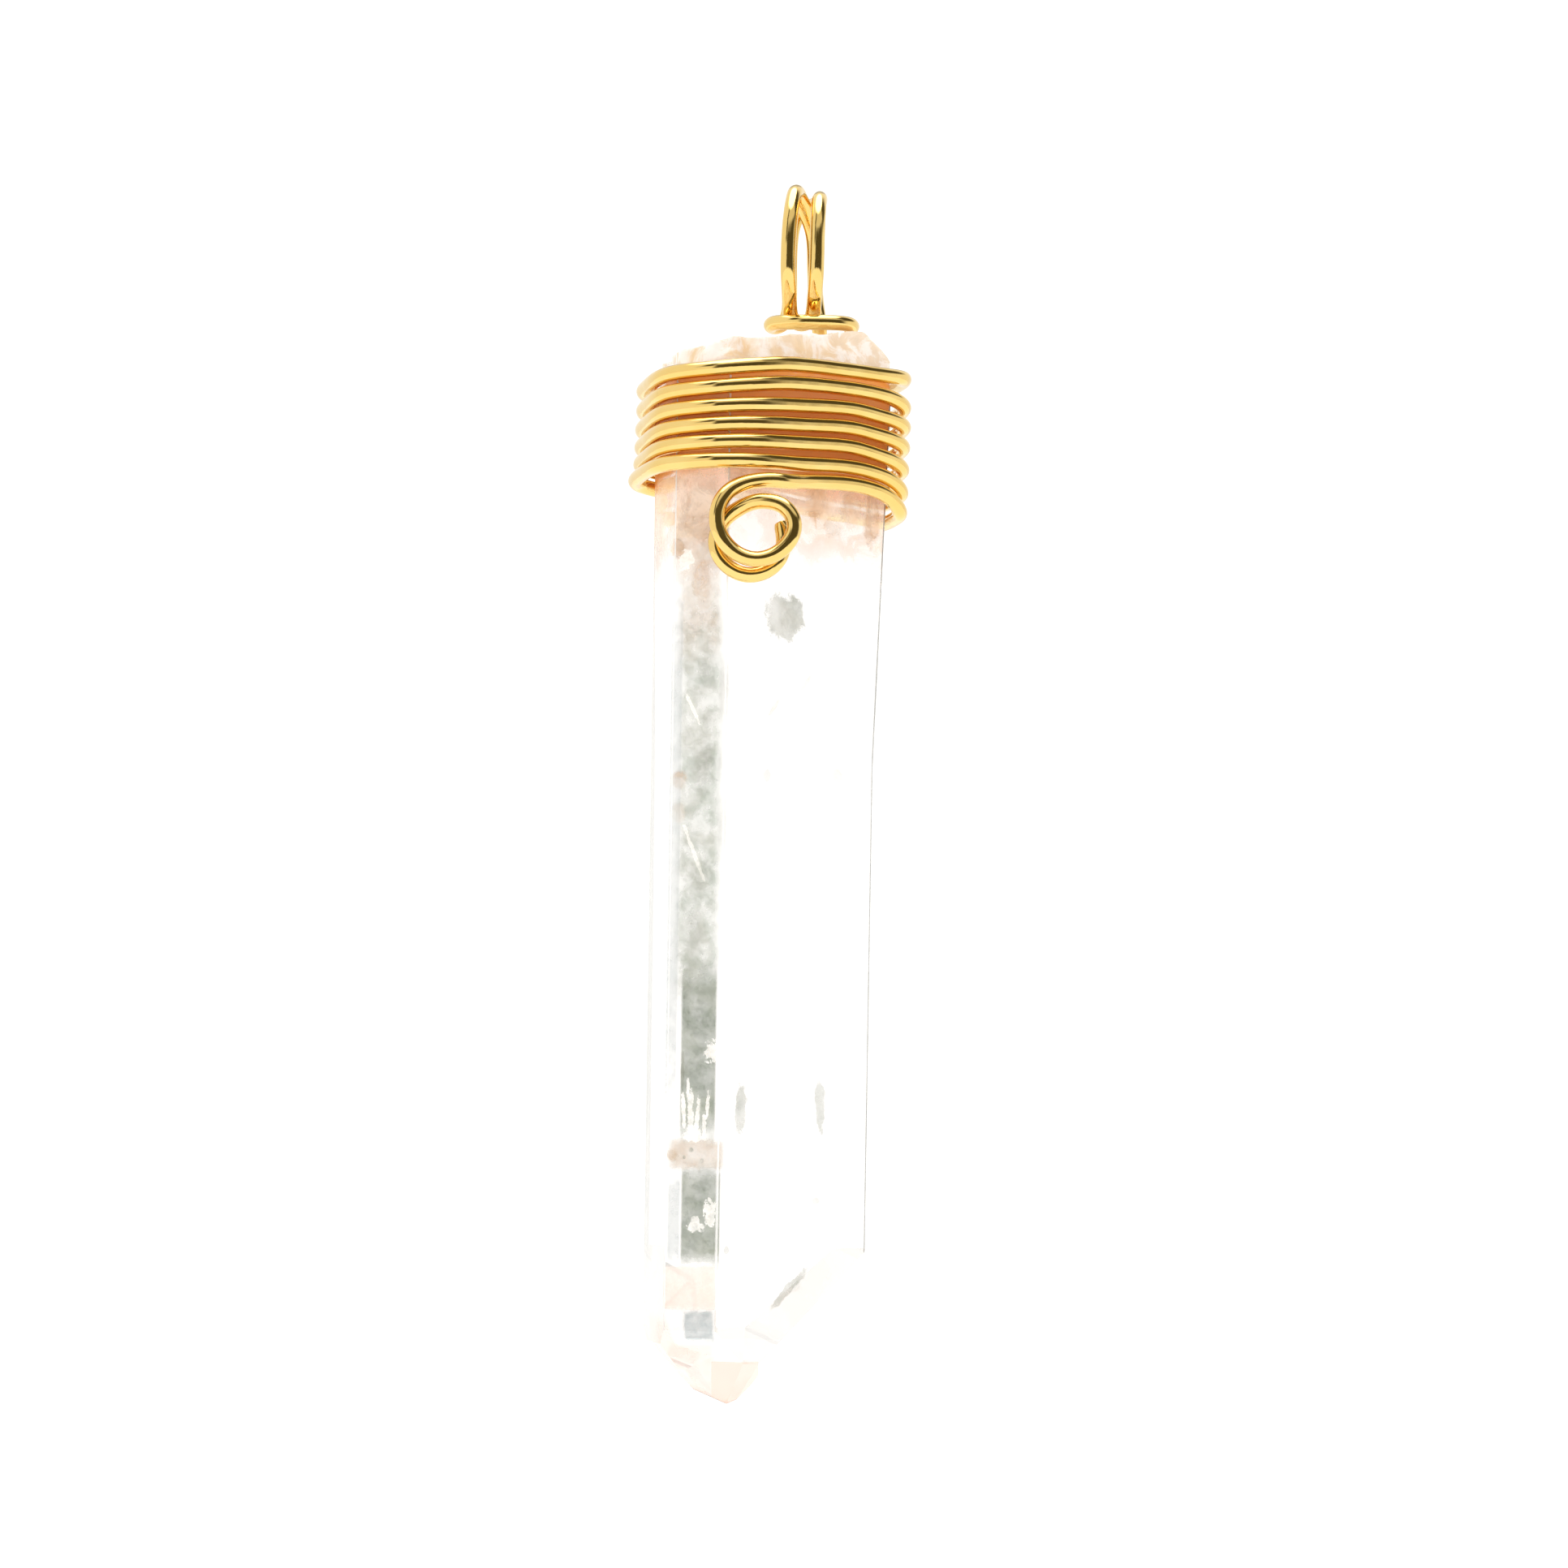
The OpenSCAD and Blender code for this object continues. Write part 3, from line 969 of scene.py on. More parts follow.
@dataclass
class Bail:
    """Tail over the crown, two loops side by side and a strand round the front of the neck."""

    wire_radius: float = 0.4
    loop_reach: float = 2.4
    neck_x: float = 0.38
    neck_half_width: float = 2.15
    neck_half_depth: float = 1.7
    point_gap: float = 0.1
    ease_rounds: int = 5
    tail_bends: tuple = (
        (2.279, 6.72, -8.777), (1.74, 6.96, -8.73), (1.26, 7.08, -8.4), (0.98, 6.93, -7.75),
        (0.9, 6.38, -7.3), (0.94, 5.55, -7.12), (0.96, 4.2, -7.0), (0.93, 2.9, -6.9), (0.88, 1.85, -6.8),
        (0.82, 1.08, -6.58), (0.78, 0.72, -6.05),
    )
    loop_bends: tuple = (
        (0.7, 0.36, -5.45), (0.62, 0.56, -4.7), (0.54, 0.8, -3.6), (0.5, 0.95, -2.5),
        (0.48, 0.97, -1.6), (0.36, 0.87, -0.8), (0.1, 0.68, -0.14), (-0.16, 0.44, 0.4),
        (-0.38, 0.16, 0.7), (-0.51, -0.12, 0.71), (-0.64, -0.47, 0.3), (-0.77, -0.79, -0.7),
        (-0.86, -0.94, -1.9), (-0.9, -1, -3.1), (-0.89, -0.96, -4.1), (-0.83, -0.76, -4.9),
        (-0.8, -0.54, -5.38), (-0.77, -0.33, -5.8), (-0.69, -0.235, -6.12), (-0.46, -0.2, -6.36),
        (-0.15, -0.19, -6.45), (0.16, -0.2, -6.36), (0.39, -0.235, -6.12), (0.47, -0.33, -5.8),
        (0.5, -0.54, -5.38), (0.54, -0.76, -4.9), (0.58, -0.96, -4.1), (0.6, -1, -3.1),
        (0.62, -0.94, -1.9), (0.65, -0.79, -0.85), (0.7, -0.46, 0.05), (0.74, -0.05, 0.42),
        (0.76, 0.3, 0.54), (0.72, 0.66, 0.66), (0.53, 0.95, 0.7), (0.2, 1.08, 0.6),
        (-0.2, 1.12, 0.38), (-0.54, 1.11, -0.1), (-0.74, 1.07, -0.9), (-0.8, 1, -2),
        (-0.8, 0.86, -3.2), (-0.79, 0.69, -4.4), (-0.84, 0.57, -5.35), (-0.99, 0.5, -5.9),
        (-1.24, 0.39, -6.22),
    )
    neck_bends: tuple = (
        (-112, 0.98, -6.38), (-90, 1.0, -6.42), (-60, 1.0, -6.47), (-30, 1.0, -6.56), (0, 1.0, -6.6),
        (30, 1.0, -6.56), (60, 1.0, -6.48), (90, 1.0, -6.43), (112, 1.0, -6.36),
    )

    def path(self) -> Array:
        """Middle line of the bail's wire.

        Returns:
            The points at even distances.
        """
        loops = np.array(self.loop_bends) * np.array([1.0, self.loop_reach, 1.0])
        azimuth, share, height = np.array(self.neck_bends).T
        neck = level(azimuth) * share[:, None] * np.array([self.neck_half_width, self.neck_half_depth, 0.0])
        neck[:, 0] += self.neck_x
        neck[:, 2] = height
        bends = np.concatenate([np.array(self.tail_bends), loops, neck])
        table = np.column_stack([np.arange(len(bends)), bends])
        dense = smooth_value(table, np.linspace(0, len(bends) - 1, 1600))
        return eased(spaced(dense, self.point_gap), self.ease_rounds)

    def build(self, plate: Any, cut: Any) -> Any:
        """Make the wire and put it in the place of the CAD solid.

        Args:
            plate: material of the wire.
            cut: material of its cut ends.

        Returns:
            The wire's object.
        """
        wire = RoundWire("bail_polished", self.path(), self.wire_radius, pinch=(0.0, 0.12)).build()
        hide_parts("bail")
        return dressed(wire, "gold_wire", plate, cut)


def tilted(azimuth: float, rise: float) -> Array:
    """Direction at an azimuth, turned up from level by the rise, both in degrees."""
    angle = math.radians(rise)
    return level(np.array(float(azimuth))) * math.cos(angle) + np.array([0.0, 0.0, math.sin(angle)])


@dataclass
class Stone:
    """The quartz point, cut by planes, with worn edges in front and a broken top."""

    shift: float = -1.85
    tip_drop: float = 62.65
    point_slope: float = 44.0
    apex: tuple = (-1.37, -3.2)
    wear: float = 0.13
    front_wear: float = 0.45
    prism_table: tuple = (
        (-78, 5.68, 0.15, -53), (-21, 7.20, 0.20, -53), (40, 4.12, 0.20, -53), (100, 5.44, 0.25, -53),
        (160, 6.55, 0.15, -53), (220, 3.68, 0.20, -53),
    )
    point_table: tuple = (
        (-78, 6, 1.05), (-21, 2, 0), (40, -3, 0), (78, 8.2, 0.3), (160, -6, 0), (220, -8, 0),
    )
    crown_table: tuple = (
        (-66.4, 11.7, 0, -7.58), (197, 6, 0, -7.2), (97, 38, 4.8, -6.85), (-85, 86.4, 5.68, -8.1),
    )
    break_start: float = -10.2
    break_rise: float = 1.2
    break_cell: float = 0.34
    break_rounds: int = 8
    break_skip: float = 0.10
    break_waves: tuple = (
        (0.55, 0.25, 0.70, 0.4, 0.12), (-0.42, 0.80, 0.50, 2.1, 0.11), (1.25, 0.90, 1.45, 4.0, 0.08),
        (-1.55, 1.10, 0.85, 1.2, 0.08), (2.60, -1.90, 2.20, 5.2, 0.045), (3.40, 2.80, -3.20, 3.1, 0.035),
        (-5.10, 3.90, 4.60, 0.9, 0.02),
    )
    flare_azimuth: float = 100.0
    flare_lean: float = 2.4
    flare_height: float = -30.0

    def planes(self, flared: bool) -> tuple[Array, Array]:
        """Planes of one half of the stone, measured from its axis.

        Args:
            flared: whether the widened upper half is meant.

        Returns:
            Outward directions and distances of the planes.
        """
        upright = np.array([0.0, 0.0, 1.0])
        directions, points = [], []
        for azimuth, distance, lean, height in self.prism_table:
            if flared and azimuth == self.flare_azimuth:
                distance += (self.flare_height - height) * math.tan(math.radians(lean))
                lean, height = self.flare_lean, self.flare_height
            directions.append(tilted(azimuth, -lean))
            points.append(tilted(azimuth, 0) * distance + upright * height)
        for azimuth, steeper, past in self.point_table:
            directions.append(tilted(azimuth, self.point_slope + steeper - 90))
            points.append(np.array([*self.apex, -self.tip_drop]) + past * tilted(azimuth, 0))
        for azimuth, fall, distance, height in self.crown_table:
            directions.append(tilted(azimuth, 90 - fall))
            points.append(tilted(azimuth, 0) * distance + upright * height)
        directions.append(-upright if flared else upright)
        points.append(upright * self.flare_height)
        normals = np.array(directions)
        return normals, (normals * np.array(points)).sum(1)

    @staticmethod
    def faces_of(normals: Array, distances: Array) -> list[Array]:
        """Faces of the body inside a set of planes.

        Corners are the meeting points of every three planes that lie inside all the others. The corners of
        a face are ordered by their angle round its middle.

        Args:
            normals: outward directions.
            distances: distances of the planes.

        Returns:
            The corners of each face, in order, one array for each plane; empty where a plane cuts nothing.
        """
        triples = np.array(list(itertools.combinations(range(len(normals)), 3)))
        systems = normals[triples]
        solvable = np.abs(np.linalg.det(systems)) > 1e-7
        triples, systems = triples[solvable], systems[solvable]
        corners = np.linalg.solve(systems, distances[triples][..., None])[..., 0]
        inside = (corners @ normals.T <= distances + 1e-6).all(1)
        corners = np.unique(np.round(corners[inside], 6), axis=0)
        faces = []
        for normal, distance in zip(normals, distances):
            ring = corners[np.abs(corners @ normal - distance) < 1e-4]
            if len(ring) < 3:
                faces.append(ring[:0])
                continue
            across = unit(ring[0] - ring.mean(0))
            offset = ring - ring.mean(0)
            order = np.argsort(np.arctan2(offset @ np.cross(normal, across), offset @ across))
            faces.append(ring[order])
        return faces

    def body(self) -> Any:
        """Make the stone's mesh from its two halves, joined where the flare starts.

        Returns:
            The object, without a material.
        """
        points, faces = [], []
        for flared in (False, True):
            for ring in self.faces_of(*self.planes(flared))[:-1]:
                if len(ring):
                    faces.append(range(len(points), len(points) + len(ring)))
                    points.extend(ring)
        placed = np.array(points) + np.array([self.shift, 0, 0])
        return put_mesh("quartz_point_clear", placed, faces, smooth=False)

    def mark_wear(self, work: Any) -> None:
        """Mark the edges that wear: of those beside a front face, the upright ones and the outline.

        Args:
            work: the stone's mesh while it is edited.
        """
        weights = work.edges.layers.float.new("bevel_weight_edge")
        for edge in work.edges:
            low, high = sorted(corner.co.z for corner in edge.verts)
            upright = high - low > 0.95 * edge.calc_length()
            outline = math.prod(face.normal.y for face in edge.link_faces) < 0
            sharp = edge.calc_face_angle(0.0) > math.radians(6)
            ahead = min(face.normal.y for face in edge.link_faces) < -0.05
            below = high < self.break_start * MM + 1e-6
            kept = below and sharp and ahead and (upright or outline)
            edge[weights] = float(kept) * (1.0 if outline else self.front_wear)

    def divide_break(self, work: Any) -> None:
        """Divide the faces above the wrap into small triangles, for the break to shape.

        Args:
            work: the stone's mesh while it is edited.
        """
        for _ in range(self.break_rounds):
            above = [face for face in work.faces if face.calc_center_median().z > self.break_start * MM]
            cut = bmesh.ops.triangulate(work, faces=above)
            pieces = [face for face in cut["faces"] + above if face.is_valid]
            long_edges = {edge for face in pieces for edge in face.edges
                          if edge.calc_length() > self.break_cell * MM}
            bmesh.ops.subdivide_edges(work, edges=list(long_edges), cuts=1)
        above = [face for face in work.faces if face.calc_center_median().z > self.break_start * MM]
        bmesh.ops.triangulate(work, faces=above)

    def shape_break(self, mesh: Any) -> None:
        """Press shelly scoops into the top of the stone.

        A point above the wrap moves inwards by a sum of waves, each the size of a sine of its place, so
        that smooth hollows meet in sharp ridges; the first stretch above the wrap fades in.

        Args:
            mesh: the stone's mesh, with its top finely divided.
        """
        flat = np.empty(len(mesh.vertices) * 3)
        mesh.vertices.foreach_get("co", flat)
        points = flat.reshape(-1, 3) / MM
        waves = np.array(self.break_waves)
        scoops = np.abs(np.sin(points @ waves[:, :3].T + waves[:, 3])) @ waves[:, 4]
        share = np.clip((points[:, 2] - self.break_start) / self.break_rise, 0, 1)
        heart = np.array([self.shift, 0.0, self.break_start - 3.0])
        points = points + (share * np.maximum(scoops - self.break_skip, 0))[:, None] * unit(heart - points)
        mesh.vertices.foreach_set("co", (points * MM).ravel())
        centres = np.empty(len(mesh.polygons) * 3)
        mesh.polygons.foreach_get("center", centres)
        mesh.polygons.foreach_set("use_smooth", centres[2::3] > self.break_start * MM)
        mesh.update()

    def build(self, quartz: Any, edge: Any) -> Any:
        """Make the stone and put it in the place of the CAD solid.

        Args:
            quartz: the stone's material.
            edge: material of its worn edges, with painted grey shade for the outline.

        Returns:
            The stone's object.
        """
        stone = self.body()
        work = bmesh.new()
        work.from_mesh(stone.data)
        bmesh.ops.remove_doubles(work, verts=work.verts, dist=0.00001)
        bmesh.ops.dissolve_limit(work, angle_limit=math.radians(0.05), verts=work.verts, edges=work.edges)
        bmesh.ops.recalc_face_normals(work, faces=work.faces)
        everything = [*work.verts, *work.edges, *work.faces]
        bmesh.ops.bisect_plane(work, geom=everything, dist=1e-7, plane_co=(0, 0, self.break_start * MM),
                               plane_no=(0, 0, 1))
        self.mark_wear(work)
        self.divide_break(work)
        work.to_mesh(stone.data)
        work.free()
        self.shape_break(stone.data)
        bevel = stone.modifiers.new("wear", "BEVEL")
        bevel.width = self.wear * MM
        bevel.segments = 2
        bevel.limit_method = "WEIGHT"
        bevel.material = 1
        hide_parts("quartz_point")
        return dressed(stone, "quartz", quartz, edge)


@dataclass
class FlawsAndPaintedReflections:
    """Cloudy sheets and flecks inside the stone; some sheets are wholly or partly painted light: reflections
    and shade seen inside it, and a glow.

    A row is: x, y, z of the middle, half width, half height, azimuth that the sheet faces, tilt, weight.
    """

    pane_table: tuple = (
        (-4.78, -6.12, -44.90, 1.02, 5.3, -21, 0, 1.0), (-4.64, -6.14, -53.06, 1.02, 2.86, -21, 0, 1.0),
    )
    blue_table: tuple = (
        (-4.58, -6.26, -58.55, 0.92, 0.86, -21, 0, 1.0), (-6.23, -5.78, -34.6, 0.38, 14.3, -21, 0, 0.5),
        (-5.92, -5.83, -53.4, 0.37, 2.3, -21, 0, 0.6), (-7.34, -0.22, -38.0, 1.4, 17.8, -78, 0, 0.22),
    )
    peach_table: tuple = (
        (-4.87, -6.24, -50.06, 1.66, 0.90, -21, 0, 1.0), (-4.96, -6.18, -56.73, 1.40, 1.12, -21, 0, 0.35),
        (-5.30, -4.35, -59.80, 1.0, 0.6, -21, -22, 0.45),
    )
    milk_table: tuple = (
        (-5.13, -6.20, -56.70, 1.52, 1.20, -21, 0, 1.0),
    )
    warm_table: tuple = (
        (-7.20, -5.46, -16.95, 0.50, 0.80, -21, 0, 0.9), (-6.75, -5.63, -17.73, 0.55, 0.55, -21, 0, 1.0),
        (-5.26, -6.21, -17.97, 0.98, 1.5, -21, 0, 0.9), (-6.28, -5.80, -19.30, 0.55, 0.75, -21, 0, 0.7),
        (-6.70, -5.63, -15.93, 1.10, 0.5, -21, 0, 0.8), (-5.00, -6.30, -21.1, 0.75, 1.5, -21, 0, 0.6),
        (-3.39, -6.50, -15.6, 1.10, 0.8, 40, 0, 0.8),
        (0.65, -3.05, -16.35, 1.1, 1.3, 40, 0, 1.0), (3.55, -0.60, -16.8, 0.80, 1.9, 40, 0, 1.1),
        (2.45, -1.52, -16.4, 1.1, 1.4, 40, 0, 0.8), (0.57, -3.15, -16.9, 0.08, 1.3, 40, 8, 1.1),
        (1.50, -2.35, -17.6, 1.0, 0.7, 40, 0, 0.6),
        (-6.00, -5.87, -31.19, 0.60, 0.62, -21, 0, 0.55), (-6.00, -5.87, -32.88, 0.50, 0.75, -21, 0, 0.4),
        (-1.39, -4.72, -27.31, 0.16, 0.8, 40, -38, 0.3), (0.23, -3.36, -25.87, 0.16, 0.9, 40, -38, 0.3),
        (-6.02, -5.90, -50.10, 0.45, 0.42, -21, 0, 0.8),
    )
    amber_table: tuple = (
        (-5.30, -6.11, -18.0, 1.45, 3.6, -21, 0, 1.0), (-5.05, -6.20, -22.0, 1.36, 3.6, -21, 0, 0.55),
    )
    cloud_table: tuple = (
        (-4.98, -6.20, -32.1, 1.46, 11.8, -21, 0, 1.0),
    )
    patch_table: tuple = (
        (-4.70, -6.38, -25.61, 0.75, 2.2, -21, 0, 1.0), (-4.78, -6.36, -30.56, 0.90, 2.4, -21, 0, 1.0),
        (-5.17, -6.16, -38.77, 0.85, 2.6, -21, 0, 1.0), (-4.78, -6.33, -36.0, 0.95, 1.4, -21, 0, 0.8),
        (-4.60, -6.40, -28.2, 0.60, 1.3, -21, 0, 0.6), (-5.30, -6.14, -34.2, 0.60, 1.3, -21, 0, 0.6),
        (-3.85, -6.80, -26.78, 0.50, 2.9, 40, 0, 0.9), (-3.95, -6.86, -30.40, 0.30, 1.2, 40, 0, 0.8),
        (-3.85, -6.76, -33.67, 0.42, 2.4, 40, 0, 0.7),
    )
    fleck_table: tuple = (
        (-0.91, -4.20, -22.56, 1.66, 1.42, 40, 0, 1.0), (-2.86, -5.47, -47.81, 0.48, 1.6, 40, 0, 0.85),
        (1.09, -1.89, -47.49, 0.42, 1.7, 40, 0, 0.7), (-0.40, -3.10, -56.81, 0.32, 1.8, 40, -49, 0.8),
        (-1.69, -4.96, -30.83, 0.38, 0.41, 40, 0, 0.3), (1.94, -1.91, -30.52, 0.44, 0.46, 40, 0, 0.3),
        (1.03, -2.31, -52.34, 0.32, 0.26, 40, 0, 0.4), (-3.40, -6.15, -54.80, 0.22, 0.30, 40, 0, 0.5),
        (-5.08, -6.22, -49.84, 0.20, 0.20, -21, 0, 0.6),
        (-5.45, -6.08, -50.20, 0.14, 0.16, -21, 0, 0.7), (-4.55, -6.40, -50.35, 0.12, 0.14, -21, 0, 0.6),
        (-5.59, -5.98, -45.82, 0.14, 1.2, -21, 0, 1.0),
    )
    chip_table: tuple = (
        (-4.06, -6.57, -44.92, 0.56, 0.72, -21, 0, 1.0), (-5.02, -6.20, -49.00, 0.60, 0.55, -21, 0, 1.0),
        (-4.83, -6.25, -53.59, 0.52, 0.50, -21, 0, 1.0), (-4.10, -6.53, -52.93, 0.40, 0.85, -21, 0, 1.0),
        (-5.83, -5.99, -19.95, 0.50, 0.65, -21, -20, 0.9), (-5.37, -6.13, -27.57, 0.13, 1.0, -21, 26, 1.0),
        (-5.17, -6.18, -34.95, 0.13, 2.0, -21, 22, 1.0), (-5.30, -6.20, -46.9, 0.12, 0.8, -21, 0, 1.0),
        (-4.30, -6.45, -47.6, 0.12, 0.9, -21, -4, 1.0), (-4.80, -6.27, -55.55, 0.9, 0.16, -21, 4, 1.0),
        (-5.50, -6.04, -47.9, 0.14, 1.2, -21, 3, 1.0), (-5.15, -6.17, -48.0, 0.20, 1.7, -21, 0, 1.0),
        (-4.80, -6.28, -48.2, 0.15, 1.3, -21, -3, 1.0), (-4.45, -6.40, -48.7, 0.14, 1.0, -21, 0, 0.9),
    )

    @staticmethod
    def sheet(name: str, table: Sequence[tuple], steps: int = 24) -> Any:
        """Make one mesh of flat sheets.

        A sheet is a grid of across and up shares from -1 to 1, laid along its two directions. Its weight is
        kept at each point, for the finish to read.

        Args:
            name: the piece's name.
            table: a row for each sheet.
            steps: grid cells across a sheet.

        Returns:
            The object.
        """
        rows = np.array(table, dtype=float)
        share = np.linspace(-1, 1, steps + 1)
        across, up = np.meshgrid(share, share, indexing="ij")
        facing = level(rows[:, 5])
        tilt = np.radians(rows[:, 6])
        side = np.stack([-facing[:, 1], facing[:, 0], np.zeros(len(rows))], 1)
        rise = np.tile([0.0, 0.0, 1.0], (len(rows), 1))
        lean_side = np.cos(tilt)[:, None] * side + np.sin(tilt)[:, None] * rise
        lean_rise = -np.sin(tilt)[:, None] * side + np.cos(tilt)[:, None] * rise
        along = (rows[:, 3, None, None] * across)[..., None] * lean_side[:, None, None]
        upwards = (rows[:, 4, None, None] * up)[..., None] * lean_rise[:, None, None]
        grid = rows[:, None, None, :3] + along + upwards
        count = steps + 1
        numbers = np.arange(len(rows) * count**2).reshape(len(rows), count, count)
        quads = np.stack([numbers[:, :-1, :-1], numbers[:, 1:, :-1],
                          numbers[:, 1:, 1:], numbers[:, :-1, 1:]], -1)
        made = put_mesh(name, grid.reshape(-1, 3), quads.reshape(-1, 4))
        corners = loop_corners(made.data)
        shares = np.stack([(across + 1) / 2, (up + 1) / 2], -1).reshape(-1, 2)
        layer = made.data.uv_layers.new(name="sheet")
        layer.data.foreach_set("uv", np.tile(shares, (len(rows), 1))[corners].ravel())
        weight = made.data.attributes.new("weight", "FLOAT", "POINT")
        weight.data.foreach_set("value", np.repeat(rows[:, 7], count**2))
        return made

    def build(self) -> list[Any]:
        """Make the panes, bands, clouds, flecks and chips.

        Returns:
            The ten objects.
        """
        # Painted reflection: the dark panes stand for darker surroundings seen by reflection inside the
        # left-front face.
        dark_reflection = Veil("painted_dark_reflection_pane", (0.205, 0.26, 0.175), second=(0.33, 0.38, 0.27), density=0.90,
                     grain=1300.0, softness=0.25, patchiness=0.36, side_fade=0.16, end_fade=0.42, sway=0.35)
        blue = Veil("bluish_pane", (0.36, 0.48, 0.52), second=(0.52, 0.60, 0.62), density=0.80,
                    grain=1100.0, softness=0.2, patchiness=0.5, side_fade=0.3, end_fade=0.35, sway=0.9)
        # Painted reflection: the peach bands stand for the gold wire seen by reflection down the stone.
        peach = Veil("painted_peach_reflection", (0.90, 0.70, 0.52), second=(0.95, 0.84, 0.70), density=0.80,
                     grain=1100.0, softness=0.25, patchiness=0.5, side_fade=0.35, end_fade=0.4, sway=0.9)
        # The milky band glows a little with painted light.
        milk = Veil("milky_band", (0.99, 0.85, 0.76), second=(1.0, 0.92, 0.86), density=0.88, painted_glow=0.29,
                    grain=900.0, patchiness=0.3, side_fade=0.12, end_fade=0.2, sway=0.3)
        # Painted shade in part: the amber clouds below the wrap are partly colour in the stone and partly
        # shade and orange reflection from the wire.
        amber = Veil("amber_cloud_and_painted_shade", (0.86, 0.62, 0.42), second=(0.93, 0.80, 0.63), density=0.82,
                     grain=900.0, softness=0.18, patchiness=0.6, side_fade=0.4, end_fade=0.6, sway=0.6)
        # Painted reflection in part: the grey-green soft clouds and cloud patches are partly clouding in the
        # stone and partly darker surroundings seen by reflection inside it.
        soft = Veil(density=0.78, patchiness=0.68, side_fade=0.5, end_fade=0.34, sway=0.5)
        # Painted shade in part: the warm clouds, most of them just below the wrap, are partly colour in the
        # stone and partly shade and orange reflection from the wire.
        warm = Veil("warm_cloud_and_painted_shade", (0.86, 0.54, 0.28), second=(0.95, 0.76, 0.55), density=0.85,
                    grain=1000.0, softness=0.14, patchiness=0.5, rim=Rim.RAGGED, side_fade=0.4, sway=1.0)
        patch = Veil("cloud_and_reflection_patch", (0.44, 0.48, 0.39), second=(0.58, 0.57, 0.50), density=0.42,
                     grain=900.0, rim=Rim.RAGGED, side_fade=0.8, sway=0.6)
        grey = Veil("grey_fleck", (0.34, 0.38, 0.28), second=(0.55, 0.56, 0.46), density=0.70,
                    grain=900.0, softness=0.2, patchiness=0.45, rim=Rim.RAGGED, side_fade=0.28, sway=1.35)
        # The white chips glow with painted light.
        white = Veil("white_chip", (1.0, 0.98, 0.95), second=(0.97, 0.93, 0.88), density=0.95, painted_glow=0.45,
                     grain=2400.0, patchiness=0.45, rim=Rim.RAGGED, side_fade=0.2, sway=2.0)
        made = (("painted_dark_reflection_panes", self.pane_table, dark_reflection), ("bluish_panes", self.blue_table, blue),
                ("painted_peach_reflections", self.peach_table, peach), ("milky_band", self.milk_table, milk),
                ("warm_clouds_and_painted_shade", self.warm_table, warm), ("amber_clouds_and_painted_shade", self.amber_table, amber),
                ("soft_clouds_and_reflections", self.cloud_table, soft), ("cloud_and_reflection_patches", self.patch_table, patch),
                ("grey_flecks", self.fleck_table, grey), ("white_chips", self.chip_table, white))
        return [dressed(self.sheet(name, table), "quartz", finish.material())
                for name, table, finish in made]


